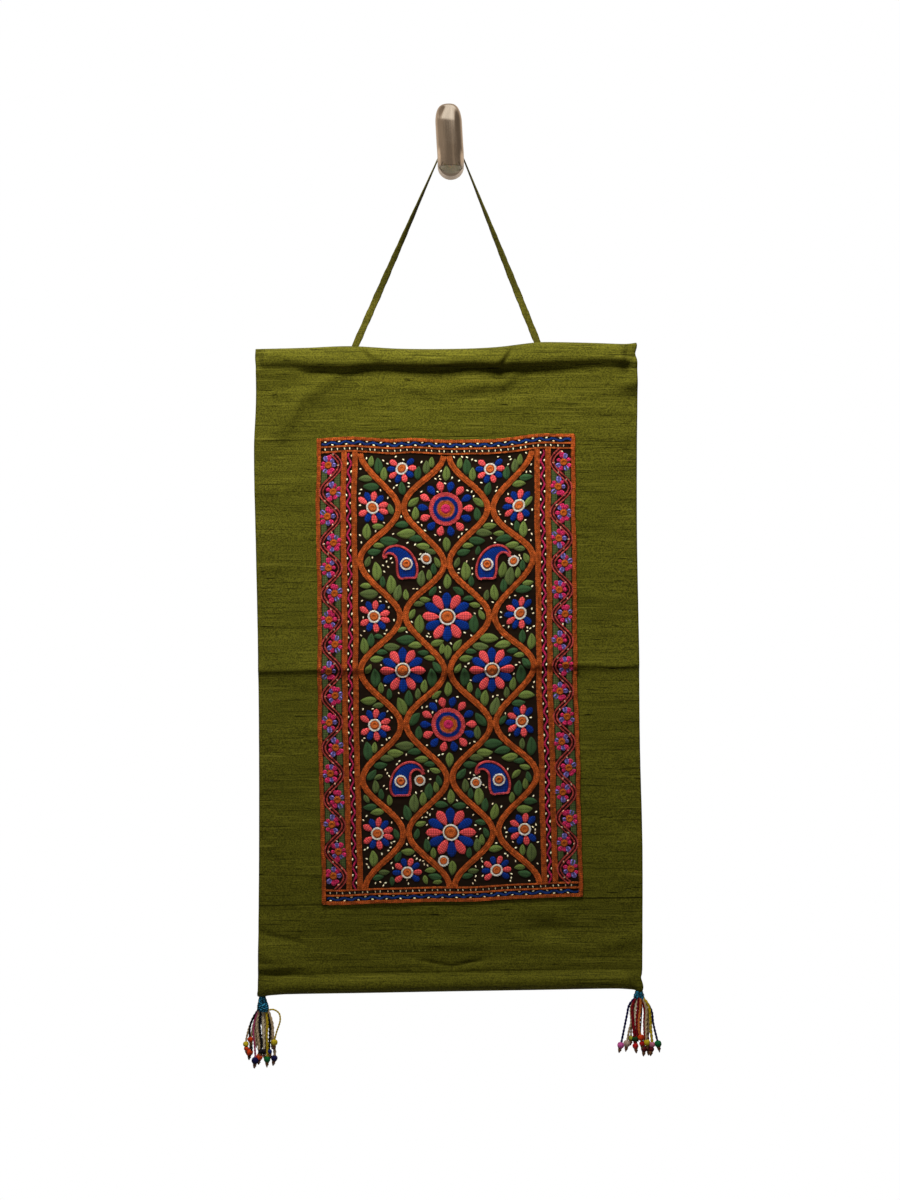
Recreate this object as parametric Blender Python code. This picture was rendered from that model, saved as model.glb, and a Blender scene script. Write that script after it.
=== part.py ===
"""An embroidered wall hanging on a wall peg.

An olive silk cloth with a rod pocket at its top and bottom, an embroidered panel
sewn to its front, a narrow strap that runs over a bent metal peg, and a tassel at
each lower corner.

Metres, with +Z up and +X to the right of someone who looks at the embroidery. The
wall is the plane y = 0, and everything lies on its -Y side. The origin is the middle
of the peg's flat wall end.
"""

import math
from bisect import bisect_right
from collections import namedtuple

import bmesh
import bpy
from mathutils import Matrix, Vector

# Space left between two pieces that touch
TOUCH = 0.0003

# Peg: one bent round bar with a domed top
PEG_RADIUS = 0.0104
PEG_REACH = 0.034
PEG_BEND = 0.012
PEG_TOP = 0.0441
PEG_LEAN = math.radians(3.2)
PEG_SIDES = 24
PEG_BEND_STEPS = 6
PEG_DOME_STEPS = 5

# Strap: a flat strip of the same silk, sewn behind the top pocket at both ends
STRAP_WIDTH = 0.0055
STRAP_THICKNESS = 0.0012
STRAP_TAIL = 0.013
STRAP_PEG_DEPTH = 0.0085
STRAP_TWIST = 0.076
STRAP_LEFT = Vector((-0.0749, 0.0, -0.1430))
STRAP_RIGHT = Vector((0.0681, 0.0, -0.1398))
STRAP_STEPS = 16
STRAP_WRAP_STEPS = 9

# Ground cloth
CLOTH = 0.0012
HANG_DEPTH = 0.0105
POCKET_DEPTH = 0.0112
HEM_LENGTH = 0.010
HEM_PITCH = CLOTH + 0.0004
SEAM_BELOW_RING = 0.0016
RING_OPEN = math.radians(50)
RING_STEPS = 11
CREASE_DROP = 0.2545
SHEET_ROWS = 24
INNER_COLUMNS = 15
END_COLUMNS = (0.0, 0.0073, 0.0160, 0.0260, 0.0430)

# Rods in the two pockets
TOP_ROD_RADIUS = 0.0055
TOP_ROD_LEFT = Vector((-0.1460, -POCKET_DEPTH, -0.1545))
TOP_ROD_RIGHT = Vector((0.1337, -POCKET_DEPTH, -0.1504))
BOTTOM_ROD_RADIUS = 0.0048
BOTTOM_ROD_LEFT = Vector((-0.1450, -POCKET_DEPTH, -0.6486))
BOTTOM_ROD_RIGHT = Vector((0.1385, -POCKET_DEPTH, -0.6437))
ROD_SIDES = 16

# Pockets around the rods: how far they stand out, and how they close past the rods
TOP_POCKET_OUT = 0.0070
BOTTOM_POCKET_OUT = 0.0062
POCKET_SLACK = 0.0016
PINCHED_OUT = 0.0016
PINCH_LENGTH = 0.0078

# Embroidered panel
PANEL_THICKNESS = 0.0016
PANEL_TOP = -0.2158
PANEL_LIFT = 0.0005
PANEL_COLUMNS = 15
PANEL_ROWS = 26

# Tassels
TASSEL_FLAT = 0.62
TASSEL_SIDES = 16
SKIRT_TEETH = 10
SKIRT_POINTS = 4
SKIRT_RINGS = 6
SKIRT_GROOVE = 0.42

# The cloth's side edges, from its top edge down
Section = namedtuple("Section", "drop left right")
CLOTH_SIDES = (
    Section(drop=0.000, left=-0.1539, right=0.1471),
    Section(drop=0.041, left=-0.1539, right=0.1475),
    Section(drop=0.081, left=-0.1555, right=0.1471),
    Section(drop=0.160, left=-0.1539, right=0.1473),
    Section(drop=0.239, left=-0.1523, right=0.1487),
    Section(drop=0.318, left=-0.1515, right=0.1495),
    Section(drop=0.397, left=-0.1515, right=0.1514),
    Section(drop=0.476, left=-0.1521, right=0.1514),
    Section(drop=0.510, left=-0.1523, right=0.1512),
)

# The embroidered panel's side edges, from its top edge down
PANEL_SIDES = (
    Section(drop=0.000, left=-0.1059, right=0.0984),
    Section(drop=0.055, left=-0.1059, right=0.0988),
    Section(drop=0.116, left=-0.1046, right=0.0999),
    Section(drop=0.191, left=-0.1053, right=0.1006),
    Section(drop=0.253, left=-0.1049, right=0.1013),
    Section(drop=0.315, left=-0.1025, right=0.1033),
    Section(drop=0.368, left=-0.1018, right=0.1041),
)

# Upper and lower edges, from left to right
EdgePoint = namedtuple("EdgePoint", "x z")
CLOTH_TOP = (
    EdgePoint(x=-0.154, z=-0.1454),
    EdgePoint(x=-0.115, z=-0.1444),
    EdgePoint(x=-0.080, z=-0.1431),
    EdgePoint(x=-0.040, z=-0.1451),
    EdgePoint(x=0.004, z=-0.1452),
    EdgePoint(x=0.036, z=-0.1438),
    EdgePoint(x=0.068, z=-0.1401),
    EdgePoint(x=0.085, z=-0.1399),
    EdgePoint(x=0.115, z=-0.1406),
    EdgePoint(x=0.138, z=-0.1413),
    EdgePoint(x=0.147, z=-0.1404),
)
CLOTH_BOTTOM = (
    EdgePoint(x=-0.152, z=-0.6564),
    EdgePoint(x=-0.143, z=-0.6561),
    EdgePoint(x=-0.130, z=-0.6552),
    EdgePoint(x=-0.065, z=-0.6541),
    EdgePoint(x=0.000, z=-0.6529),
    EdgePoint(x=0.065, z=-0.6518),
    EdgePoint(x=0.130, z=-0.6507),
    EdgePoint(x=0.143, z=-0.6514),
    EdgePoint(x=0.151, z=-0.6522),
)
PANEL_UPPER = (
    EdgePoint(x=-0.106, z=-0.2158),
    EdgePoint(x=-0.068, z=-0.2170),
    EdgePoint(x=-0.018, z=-0.2184),
    EdgePoint(x=0.023, z=-0.2166),
    EdgePoint(x=0.063, z=-0.2130),
    EdgePoint(x=0.098, z=-0.2126),
)
PANEL_LOWER = (
    EdgePoint(x=-0.102, z=-0.5839),
    EdgePoint(x=-0.066, z=-0.5835),
    EdgePoint(x=-0.014, z=-0.5821),
    EdgePoint(x=0.048, z=-0.5799),
    EdgePoint(x=0.104, z=-0.5779),
)

# Soft folds of the hanging cloth: ridges, or troughs where rise is negative
Fold = namedtuple("Fold", "x z slope length width rise")
FOLDS = (
    Fold(x=-0.107, z=-0.175, slope=32, length=0.030, width=0.009, rise=0.0016),
    Fold(x=-0.055, z=-0.178, slope=-36, length=0.026, width=0.008, rise=0.0011),
    Fold(x=0.038, z=-0.176, slope=34, length=0.030, width=0.009, rise=0.0016),
    Fold(x=0.098, z=-0.174, slope=-30, length=0.030, width=0.010, rise=0.0014),
    Fold(x=0.140, z=-0.179, slope=22, length=0.014, width=0.006, rise=-0.0010),
    Fold(x=-0.028, z=-0.194, slope=0, length=0.070, width=0.006, rise=0.0008),
    Fold(x=-0.122, z=-0.626, slope=-18, length=0.034, width=0.008, rise=0.0014),
    Fold(x=0.126, z=-0.575, slope=-12, length=0.026, width=0.007, rise=0.0010),
)
CREASE_RISE = 0.0020
CREASE_ABOVE = 0.009
CREASE_BELOW = 0.005
WAVE_RISE = 0.0007

# Tassels: where they start, and the size of the wrapped head and of the loose strands
Tassel = namedtuple("Tassel", "side x top head_length head_top head_bottom skirt_x skirt_bottom skirt_half")
TASSELS = (
    Tassel(
        side="left", x=-0.1491, top=-0.6566, head_length=0.0112, head_top=0.0018, head_bottom=0.0045,
        skirt_x=-0.1496, skirt_bottom=-0.7118, skirt_half=0.0150,
    ),
    Tassel(
        side="right", x=0.1480, top=-0.6523, head_length=0.0062, head_top=0.0023, head_bottom=0.0041,
        skirt_x=0.1490, skirt_bottom=-0.7031, skirt_half=0.0172,
    ),
)


def clear_scene():
    for found in list(bpy.data.objects):
        bpy.data.objects.remove(found)


def linear(channel):
    """The linear value of one channel of a colour as a screen shows it, 0 to 255."""
    value = channel / 255
    if value <= 0.04045:
        return value / 12.92
    return ((value + 0.055) / 1.055) ** 2.4


def material(name, red, green, blue, roughness, metallic=0.0):
    made = bpy.data.materials.new(name)
    made.use_nodes = True
    shader = made.node_tree.nodes["Principled BSDF"]
    shader.inputs["Base Color"].default_value = (linear(red), linear(green), linear(blue), 1.0)
    shader.inputs["Roughness"].default_value = roughness
    shader.inputs["Metallic"].default_value = metallic
    return made


def add_object(name, body, surface):
    """Turns a bmesh into a named, smooth-shaded object with one material."""
    bmesh.ops.recalc_face_normals(body, faces=body.faces)
    mesh = bpy.data.meshes.new(name)
    body.to_mesh(mesh)
    body.free()
    mesh.shade_smooth()
    mesh.set_sharp_from_angle(angle=math.radians(40))
    mesh.materials.append(surface)
    made = bpy.data.objects.new(name, mesh)
    bpy.context.collection.objects.link(made)
    return made


def smooth_step(value):
    held = min(1.0, max(0.0, value))
    return held * held * (3 - 2 * held)


def curve_at(places, heights, place):
    """The height at one place of a smooth curve through the given points."""
    last = len(places) - 1
    place = min(places[last], max(places[0], place))
    index = min(last - 1, max(0, bisect_right(places, place) - 1))
    slopes = []
    for point in (index, index + 1):
        before = max(0, point - 1)
        after = min(last, point + 1)
        slopes.append((heights[after] - heights[before]) / (places[after] - places[before]))
    span = places[index + 1] - places[index]
    part = (place - places[index]) / span
    start = heights[index] * (1 + 2 * part) * (1 - part) ** 2 + slopes[0] * span * part * (1 - part) ** 2
    end = heights[index + 1] * part**2 * (3 - 2 * part) + slopes[1] * span * part**2 * (part - 1)
    return start + end


def edge_z(edge, x):
    return curve_at([point.x for point in edge], [point.z for point in edge], x)


def side_x(sides, drop, across):
    """The place across the cloth, 0 at its left edge and 1 at its right, this far down."""
    drops = [section.drop for section in sides]
    left = curve_at(drops, [section.left for section in sides], drop)
    right = curve_at(drops, [section.right for section in sides], drop)
    return left + (right - left) * across


def fold_rise(fold, x, z):
    turn = math.radians(fold.slope)
    along = (x - fold.x) * math.cos(turn) + (z - fold.z) * math.sin(turn)
    aside = (z - fold.z) * math.cos(turn) - (x - fold.x) * math.sin(turn)
    return fold.rise * math.exp(-((along / fold.length) ** 2) - (aside / fold.width) ** 2)


def cloth_depth(x, z):
    """How far the middle of the ground cloth stands from the wall."""
    crest = edge_z(CLOTH_TOP, x) - CREASE_DROP
    flank = CREASE_ABOVE if z > crest else CREASE_BELOW
    crease = CREASE_RISE * math.exp(-abs(z - crest) / flank)
    wave = WAVE_RISE * math.sin(x / 0.029 + z / 0.071) * math.sin(z / 0.043 - x / 0.113)
    return HANG_DEPTH + crease + wave + sum(fold_rise(fold, x, z) for fold in FOLDS)


def rod_z(left, right, x):
    return left.z + (right.z - left.z) * (x - left.x) / (right.x - left.x)


def pinch(left, right, x):
    """0 over the rod, rising to 1 where the empty end of the pocket lies flat."""
    past = max(left.x - x, x - right.x)
    return smooth_step(past / PINCH_LENGTH)


def ring_points(out, tall, centre_z):
    """The pocket's section from its back seam, over its closed end, to its front seam."""
    points = []
    for step in range(RING_STEPS + 1):
        angle = -RING_OPEN + (math.pi + 2 * RING_OPEN) * step / RING_STEPS
        points.append((-POCKET_DEPTH + out * math.cos(angle), centre_z + tall * math.sin(angle)))
    return points


def top_section(x):
    """Points in (y, z) from the top hem's raw edge, over the rod and down to the seam."""
    closed = pinch(TOP_ROD_LEFT, TOP_ROD_RIGHT, x)
    upper = edge_z(CLOTH_TOP, x) - CLOTH / 2
    lower = rod_z(TOP_ROD_LEFT, TOP_ROD_RIGHT, x) - TOP_ROD_RADIUS - POCKET_SLACK
    out = TOP_POCKET_OUT + (PINCHED_OUT - TOP_POCKET_OUT) * closed
    tall = (upper - lower) / 2
    seam = lower - SEAM_BELOW_RING
    points = []
    for z in (seam - HEM_LENGTH, seam - HEM_LENGTH / 2, seam):
        points.append((-cloth_depth(x, z) + HEM_PITCH, z))
    points += ring_points(out, tall, (upper + lower) / 2)
    points.append((-cloth_depth(x, seam), seam))
    return points


def bottom_section(x):
    """Points in (y, z) from the lower seam, under the rod and up to the hem's raw edge."""
    closed = pinch(BOTTOM_ROD_LEFT, BOTTOM_ROD_RIGHT, x)
    lower = edge_z(CLOTH_BOTTOM, x) + CLOTH / 2
    upper = rod_z(BOTTOM_ROD_LEFT, BOTTOM_ROD_RIGHT, x) + BOTTOM_ROD_RADIUS + POCKET_SLACK
    out = BOTTOM_POCKET_OUT + (PINCHED_OUT - BOTTOM_POCKET_OUT) * closed
    seam = upper + SEAM_BELOW_RING
    points = [(-cloth_depth(x, seam), seam)]
    for y, z in ring_points(out, -(upper - lower) / 2, (upper + lower) / 2)[::-1]:
        points.append((y, z))
    for z in (seam, seam + HEM_LENGTH / 2, seam + HEM_LENGTH):
        points.append((-cloth_depth(x, z) + HEM_PITCH, z))
    return points


def sheet_rows(top, bottom, x):
    """Points in (y, z) between the two seams, closer together at the crease."""
    crest = edge_z(CLOTH_TOP, x) - CREASE_DROP
    heights = [top + (bottom - top) * row / SHEET_ROWS for row in range(1, SHEET_ROWS)]
    near = (CREASE_ABOVE, CREASE_ABOVE / 3, 0.0, -CREASE_BELOW / 2, -1.5 * CREASE_BELOW)
    clear = 1.3 * CREASE_ABOVE
    kept = [z for z in heights if abs(z - crest) > clear]
    kept += [crest + offset for offset in near]
    return [(-cloth_depth(x, z), z) for z in sorted(kept, reverse=True)]


def cloth_section(across):
    """One column of the ground cloth: its middle line, as points in space."""
    x = side_x(CLOTH_SIDES, 0.0, across)
    top = top_section(x)
    low_x = side_x(CLOTH_SIDES, CLOTH_SIDES[-1].drop, across)
    bottom = bottom_section(low_x)
    rows = sheet_rows(top[-1][1], bottom[0][1], x)
    column = []
    for y, z in top + rows + bottom:
        drop = edge_z(CLOTH_TOP, x) - z
        column.append(Vector((side_x(CLOTH_SIDES, drop, across), y, z)))
    return column


def cloth_columns():
    """Places across the cloth, close together where the pocket's ends close."""
    first = END_COLUMNS[-1]
    inner = [first + (1 - 2 * first) * step / (INNER_COLUMNS + 1) for step in range(1, INNER_COLUMNS + 1)]
    return list(END_COLUMNS) + inner + [1 - place for place in reversed(END_COLUMNS)]


def offset_column(column, offset):
    """The column moved to its left in the (y, z) plane, square to its own line."""
    moved = []
    last = len(column) - 1
    for index, point in enumerate(column):
        before = column[max(0, index - 1)]
        after = column[min(last, index + 1)]
        first = Vector((0.0, point.y - before.y, point.z - before.z))
        second = Vector((0.0, after.y - point.y, after.z - point.z))
        if index == 0:
            first = second
        if index == last:
            second = first
        along = (first.normalized() + second.normalized()).normalized()
        side = Vector((0.0, -along.z, along.y))
        reach = offset / max(0.6, along.dot(second.normalized()))
        moved.append(point + side * reach)
    return moved


def slab(columns, thickness):
    """A closed sheet of even thickness about a grid of points."""
    body = bmesh.new()
    sides = []
    for offset in (thickness / 2, -thickness / 2):
        moved = [offset_column(column, offset) for column in columns]
        sides.append([[body.verts.new(point) for point in column] for column in moved])
    wide = len(columns)
    tall = len(columns[0])
    for grid in sides:
        for across in range(wide - 1):
            for down in range(tall - 1):
                near = grid[across]
                far = grid[across + 1]
                body.faces.new((near[down], near[down + 1], far[down + 1], far[down]))
    one, other = sides
    for across in range(wide - 1):
        for down in (0, tall - 1):
            rim = (one[across][down], one[across + 1][down], other[across + 1][down], other[across][down])
            body.faces.new(rim)
    for down in range(tall - 1):
        for across in (0, wide - 1):
            rim = (one[across][down], one[across][down + 1], other[across][down + 1], other[across][down])
            body.faces.new(rim)
    return body


def ground_panel(surface):
    columns = [cloth_section(across) for across in cloth_columns()]
    return add_object("ground_panel", slab(columns, CLOTH), surface)


def embroidered_panel(surface):
    """The sewn-on panel, just in front of the ground cloth and over the same folds."""
    forward = (CLOTH + PANEL_THICKNESS) / 2 + PANEL_LIFT
    columns = []
    for step in range(PANEL_COLUMNS + 1):
        across = step / PANEL_COLUMNS
        x = side_x(PANEL_SIDES, 0.0, across)
        upper = edge_z(PANEL_UPPER, x)
        lower = edge_z(PANEL_LOWER, side_x(PANEL_SIDES, PANEL_SIDES[-1].drop, across))
        column = []
        crest = edge_z(CLOTH_TOP, x) - CREASE_DROP
        heights = [upper + (lower - upper) * row / PANEL_ROWS for row in range(PANEL_ROWS + 1)]
        nearest = min(range(PANEL_ROWS + 1), key=lambda row: abs(heights[row] - crest))
        heights[nearest] = crest
        for z in heights:
            place = side_x(PANEL_SIDES, PANEL_TOP - z, across)
            column.append(Vector((place, -cloth_depth(place, z) - forward, z)))
        columns.append(column)
    return add_object("embroidered_panel", slab(columns, PANEL_THICKNESS), surface)


def rod(name, left, right, radius, surface):
    body = bmesh.new()
    bmesh.ops.create_cone(
        body, cap_ends=True, segments=ROD_SIDES, radius1=radius, radius2=radius, depth=(right - left).length
    )
    made = add_object(name, body, surface)
    made.location = (left + right) / 2
    made.rotation_euler = (right - left).to_track_quat("Z", "Y").to_euler()
    return made


def loft(rings, tip=None):
    """A closed skin over rings of points, with flat ends or with a tip after the last."""
    body = bmesh.new()
    made = [[body.verts.new(point) for point in ring] for ring in rings]
    count = len(rings[0])
    for lower, upper in zip(made, made[1:]):
        for index in range(count):
            after = (index + 1) % count
            body.faces.new((lower[index], lower[after], upper[after], upper[index]))
    body.faces.new(made[0][::-1])
    if tip is None:
        body.faces.new(made[-1])
    else:
        end = body.verts.new(tip)
        for index in range(count):
            body.faces.new((made[-1][index], made[-1][(index + 1) % count], end))
    return body


def circle(centre, first, second, radius, sides):
    points = []
    for index in range(sides):
        angle = math.tau * index / sides
        points.append(centre + (first * math.cos(angle) + second * math.sin(angle)) * radius)
    return points


def wall_peg(surface):
    """The bar runs out of the wall, bends up, leans a little left and ends in a dome."""
    right = Vector((1.0, 0.0, 0.0))
    up = Vector((0.0, 0.0, 1.0))
    out = Vector((0.0, -1.0, 0.0))
    bend_start = out * (PEG_REACH - PEG_BEND)
    bend_centre = bend_start + up * PEG_BEND
    corner = out * PEG_REACH
    rings = [circle(Vector(), right, up, PEG_RADIUS, PEG_SIDES)]
    for step in range(PEG_BEND_STEPS + 1):
        turn = math.radians(90) * step / PEG_BEND_STEPS
        place = bend_centre + (out * math.sin(turn) - up * math.cos(turn)) * PEG_BEND
        second = up * math.cos(turn) - out * math.sin(turn)
        lean = Matrix.Rotation(-PEG_LEAN * step / PEG_BEND_STEPS, 3, "Y")
        ring = circle(place, right, second, PEG_RADIUS, PEG_SIDES)
        rings.append([corner + lean @ (point - corner) for point in ring])
    lean = Matrix.Rotation(-PEG_LEAN, 3, "Y")
    dome_centre = PEG_TOP - PEG_RADIUS
    for step in range(PEG_DOME_STEPS):
        rise = math.radians(90) * step / PEG_DOME_STEPS
        place = corner + up * (dome_centre + PEG_RADIUS * math.sin(rise))
        ring = circle(place, right, -out, PEG_RADIUS * math.cos(rise), PEG_SIDES)
        rings.append([corner + lean @ (point - corner) for point in ring])
    tip = corner + lean @ (up * PEG_TOP)
    return add_object("wall_peg", loft(rings, tip), surface)


def tangent_angle(anchor, radius, side):
    """Where a line from the anchor meets the top half of a circle about the origin."""
    bearing = math.atan2(anchor.z, anchor.x)
    return bearing + side * math.acos(radius / math.hypot(anchor.x, anchor.z))


def strap_side(anchor, angle, radius, sign):
    """Stations of one strand, from its sewn tail up to the peg: place, run and turn."""
    touch = Vector((math.cos(angle), 0.0, math.sin(angle))) * radius
    run = (touch - anchor).normalized()
    tail = anchor - run * STRAP_TAIL
    length = (touch - tail).length
    back = POCKET_DEPTH - TOP_POCKET_OUT - CLOTH / 2 - TOUCH - STRAP_THICKNESS / 2
    stations = []
    for step in range(STRAP_STEPS):
        part = step / STRAP_STEPS
        place = tail + run * length * part
        climb = smooth_step((part * length - STRAP_TAIL) / (length - STRAP_TAIL))
        place.y = -(back + (STRAP_PEG_DEPTH - back) * climb)
        turned = smooth_step(1 - length * (1 - part) / STRAP_TWIST)
        stations.append((place, run * sign, math.radians(90) * turned))
    return stations


def hanging_loop(surface):
    radius = PEG_RADIUS + TOUCH + STRAP_THICKNESS / 2
    left_angle = tangent_angle(STRAP_LEFT, radius, -1) + math.tau
    right_angle = tangent_angle(STRAP_RIGHT, radius, 1)
    stations = strap_side(STRAP_LEFT, left_angle, radius, 1)
    for step in range(STRAP_WRAP_STEPS + 1):
        angle = left_angle + (right_angle - left_angle) * step / STRAP_WRAP_STEPS
        place = Vector((math.cos(angle) * radius, -STRAP_PEG_DEPTH, math.sin(angle) * radius))
        stations.append((place, Vector((math.sin(angle), 0.0, -math.cos(angle))), math.radians(90)))
    stations += strap_side(STRAP_RIGHT, right_angle, radius, -1)[::-1]
    out = Vector((0.0, -1.0, 0.0))
    rings = []
    for place, run, turn in stations:
        across = out.cross(run)
        wide = across * math.cos(turn) + out * math.sin(turn)
        thick = wide.cross(run)
        wide = wide * STRAP_WIDTH / 2
        thick = thick * STRAP_THICKNESS / 2
        rings.append([place + wide + thick, place - wide + thick, place - wide - thick, place + wide - thick])
    return add_object("hanging_loop", loft(rings), surface)


def tassel_head(tassel, surface):
    """The thread-wrapped neck: narrow where it is sewn on, and wider below."""
    centre = Vector((tassel.x, -POCKET_DEPTH, tassel.top))
    swell = (0.0, 0.12, 0.30, 0.62, 0.90, 1.0, 0.86)
    rings = []
    for index, part in enumerate(swell):
        fall = tassel.head_length * index / (len(swell) - 1)
        radius = tassel.head_top + (tassel.head_bottom - tassel.head_top) * part
        place = centre - Vector((0.0, 0.0, fall))
        flat = Vector((0.0, TASSEL_FLAT + (1 - TASSEL_FLAT) * (1 - part), 0.0))
        rings.append(circle(place, Vector((1.0, 0.0, 0.0)), flat, radius, TASSEL_SIDES))
    return add_object("tassel_head_" + tassel.side, loft(rings), surface)


def tassel_skirt(tassel, surface):
    """The outer form of the loose strands: a flat bell whose edge parts into teeth."""
    top = tassel.top - tassel.head_length - TOUCH
    root = 0.8 * tassel.head_bottom
    count = SKIRT_TEETH * SKIRT_POINTS
    rings = []
    for step in range(SKIRT_RINGS + 1):
        part = step / SKIRT_RINGS
        half = root + (tassel.skirt_half - root) * part**0.8
        centre_x = tassel.x + (tassel.skirt_x - tassel.x) * part
        ring = []
        for index in range(count):
            angle = math.tau * index / count
            tooth = 0.5 - 0.5 * math.cos(angle * SKIRT_TEETH)
            reach = half * (1 - SKIRT_GROOVE * part * tooth)
            uneven = 1 - 0.16 * part * tooth - 0.05 * part * (1 + math.cos(3 * angle + 1))
            z = top - (top - tassel.skirt_bottom) * part * uneven
            x = centre_x + reach * math.cos(angle)
            y = -POCKET_DEPTH + TASSEL_FLAT * reach * math.sin(angle) * (1 - 0.3 * part)
            ring.append(Vector((x, y, z)))
        rings.append(ring)
    middle = top - (top - tassel.skirt_bottom) * 0.8
    tip = Vector((tassel.skirt_x, -POCKET_DEPTH, middle))
    return add_object("tassel_skirt_" + tassel.side, loft(rings, tip), surface)


def main():
    clear_scene()
    silk = material("olive silk", 102, 101, 28, roughness=0.62)
    strap_silk = material("olive silk strap", 84, 80, 34, roughness=0.6)
    black_cloth = material("black cotton ground", 26, 19, 20, roughness=0.9)
    dowel = material("wooden dowel", 176, 138, 92, roughness=0.6)
    second_dowel = material("lower wooden dowel", 176, 138, 92, roughness=0.6)
    nickel = material("brushed nickel", 168, 160, 150, roughness=0.28, metallic=1.0)
    ground_panel(silk)
    embroidered_panel(black_cloth)
    rod("top_rod", TOP_ROD_LEFT, TOP_ROD_RIGHT, TOP_ROD_RADIUS, dowel)
    rod("bottom_rod", BOTTOM_ROD_LEFT, BOTTOM_ROD_RIGHT, BOTTOM_ROD_RADIUS, second_dowel)
    wall_peg(nickel)
    hanging_loop(strap_silk)
    for tassel in TASSELS:
        wrapped = material("teal wrapping " + tassel.side, 22, 92, 96, roughness=0.7)
        strands = material("tassel thread " + tassel.side, 150, 110, 72, roughness=0.75)
        tassel_head(tassel, wrapped)
        tassel_skirt(tassel, strands)


main()
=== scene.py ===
"""Makes an embroidered silk wall hanging, with its strap, peg and tassels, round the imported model."""

from collections import namedtuple
from math import acos, atan2, cos, exp, hypot, pi, radians, sin, tau

import bmesh
import bpy
import numpy as np
from bpy.props import FloatProperty, FloatVectorProperty, IntProperty, PointerProperty
from bpy.types import Operator, Panel, PropertyGroup
from mathutils import Matrix, Vector


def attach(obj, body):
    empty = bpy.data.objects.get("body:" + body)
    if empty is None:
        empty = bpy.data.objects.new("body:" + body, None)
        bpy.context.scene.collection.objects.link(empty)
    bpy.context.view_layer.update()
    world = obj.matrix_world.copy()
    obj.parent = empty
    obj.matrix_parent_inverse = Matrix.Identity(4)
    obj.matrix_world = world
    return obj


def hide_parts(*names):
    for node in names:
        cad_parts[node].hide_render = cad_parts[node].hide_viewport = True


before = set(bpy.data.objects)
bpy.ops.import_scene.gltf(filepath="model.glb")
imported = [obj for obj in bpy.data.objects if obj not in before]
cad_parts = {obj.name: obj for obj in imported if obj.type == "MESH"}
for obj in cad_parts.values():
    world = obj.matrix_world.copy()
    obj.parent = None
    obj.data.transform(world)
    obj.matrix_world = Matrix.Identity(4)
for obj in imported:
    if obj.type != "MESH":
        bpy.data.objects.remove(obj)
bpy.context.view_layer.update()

bl_info = {
    "name": "Embroidered Wall Hanging",
    "version": (1, 0, 0),
    "blender": (4, 5, 0),
    "location": "3D View > Sidebar > Hanging",
    "description": "An embroidered silk hanging with a strap, a wall peg and two beaded tassels",
    "category": "Add Mesh",
}

BODY = "root"
# Room between pieces that touch
TOUCH = 0.0003
UP = Vector((0.0, 0.0, 1.0))
OUT = Vector((0.0, -1.0, 0.0))


def table(columns, *rows):
    """Rows with named columns."""
    named = namedtuple("Row", columns)
    return tuple(named(*row) for row in rows)


# The hanging's own sizes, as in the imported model
CLOTH = 0.0012
HANG_DEPTH = 0.0105
POCKET_DEPTH = 0.0112
HEM_LENGTH = 0.010
HEM_PITCH = CLOTH + 0.0004
SEAM_BELOW_RING = 0.0016
RING_OPEN = radians(50)
CREASE_DROP = 0.2545
CREASE_RISE = 0.0034
CREASE_ABOVE = 0.017
CREASE_BELOW = 0.0036
WAVE_RISE = 0.0007
TOP_ROD_RADIUS = 0.0055
TOP_ROD_ENDS = (Vector((-0.1460, -POCKET_DEPTH, -0.1545)), Vector((0.1337, -POCKET_DEPTH, -0.1504)))
BOTTOM_ROD_RADIUS = 0.0048
BOTTOM_ROD_ENDS = (Vector((-0.1450, -POCKET_DEPTH, -0.6486)), Vector((0.1385, -POCKET_DEPTH, -0.6437)))
TOP_POCKET_OUT = 0.0070
BOTTOM_POCKET_OUT = 0.0059
POCKET_SLACK = 0.0016
POCKET_DROOP = -0.27
PINCHED_OUT = 0.0026
PINCH_LENGTH = 0.0074
END_LIFT = 0.0034
END_LIFT_Z = -0.1610
END_LIFT_TALL = 0.011
PANEL_THICKNESS = 0.0008
PANEL_TOP = -0.2158
PANEL_LIFT = 0.0001
PEG_RADIUS = 0.0104
PEG_REACH = 0.034
PEG_BEND = 0.012
PEG_TOP = 0.0441
PEG_DOME = 0.0150
PEG_DOME_FULL = 0.6
PEG_LEAN = radians(3.2)
POLISH_LINE = -0.0040
STRAP_WIDTH = 0.0055
STRAP_THICKNESS = 0.0012
STRAP_TAIL = 0.013
STRAP_PEG_DEPTH = 0.0085
STRAP_TWIST = 0.128
# Height above which the strap, turned away from the key light, gets painted shade
STRAP_PAINTED_SHADE_FROM = -0.094
STRAP_LEFT = Vector((-0.0760, 0.0, -0.1430))
STRAP_RIGHT = Vector((0.0688, 0.0, -0.1398))

# Side edges, from the upper edge down, and upper and lower edges, from left to right
CLOTH_SIDES = table(
    "drop left right",
    (0.000, -0.1539, 0.1471),
    (0.041, -0.1539, 0.1475),
    (0.081, -0.1555, 0.1471),
    (0.160, -0.1539, 0.1473),
    (0.239, -0.1523, 0.1487),
    (0.318, -0.1515, 0.1495),
    (0.397, -0.1515, 0.1514),
    (0.476, -0.1521, 0.1514),
    (0.510, -0.1523, 0.1512),
)
PANEL_SIDES = table(
    "drop left right",
    (0.000, -0.1059, 0.0976),
    (0.049, -0.1063, 0.0984),
    (0.088, -0.1057, 0.0991),
    (0.128, -0.1056, 0.0988),
    (0.167, -0.1049, 0.0998),
    (0.207, -0.1047, 0.1003),
    (0.246, -0.1050, 0.1013),
    (0.286, -0.1031, 0.1025),
    (0.325, -0.1020, 0.1037),
    (0.368, -0.1019, 0.1038),
)
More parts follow.
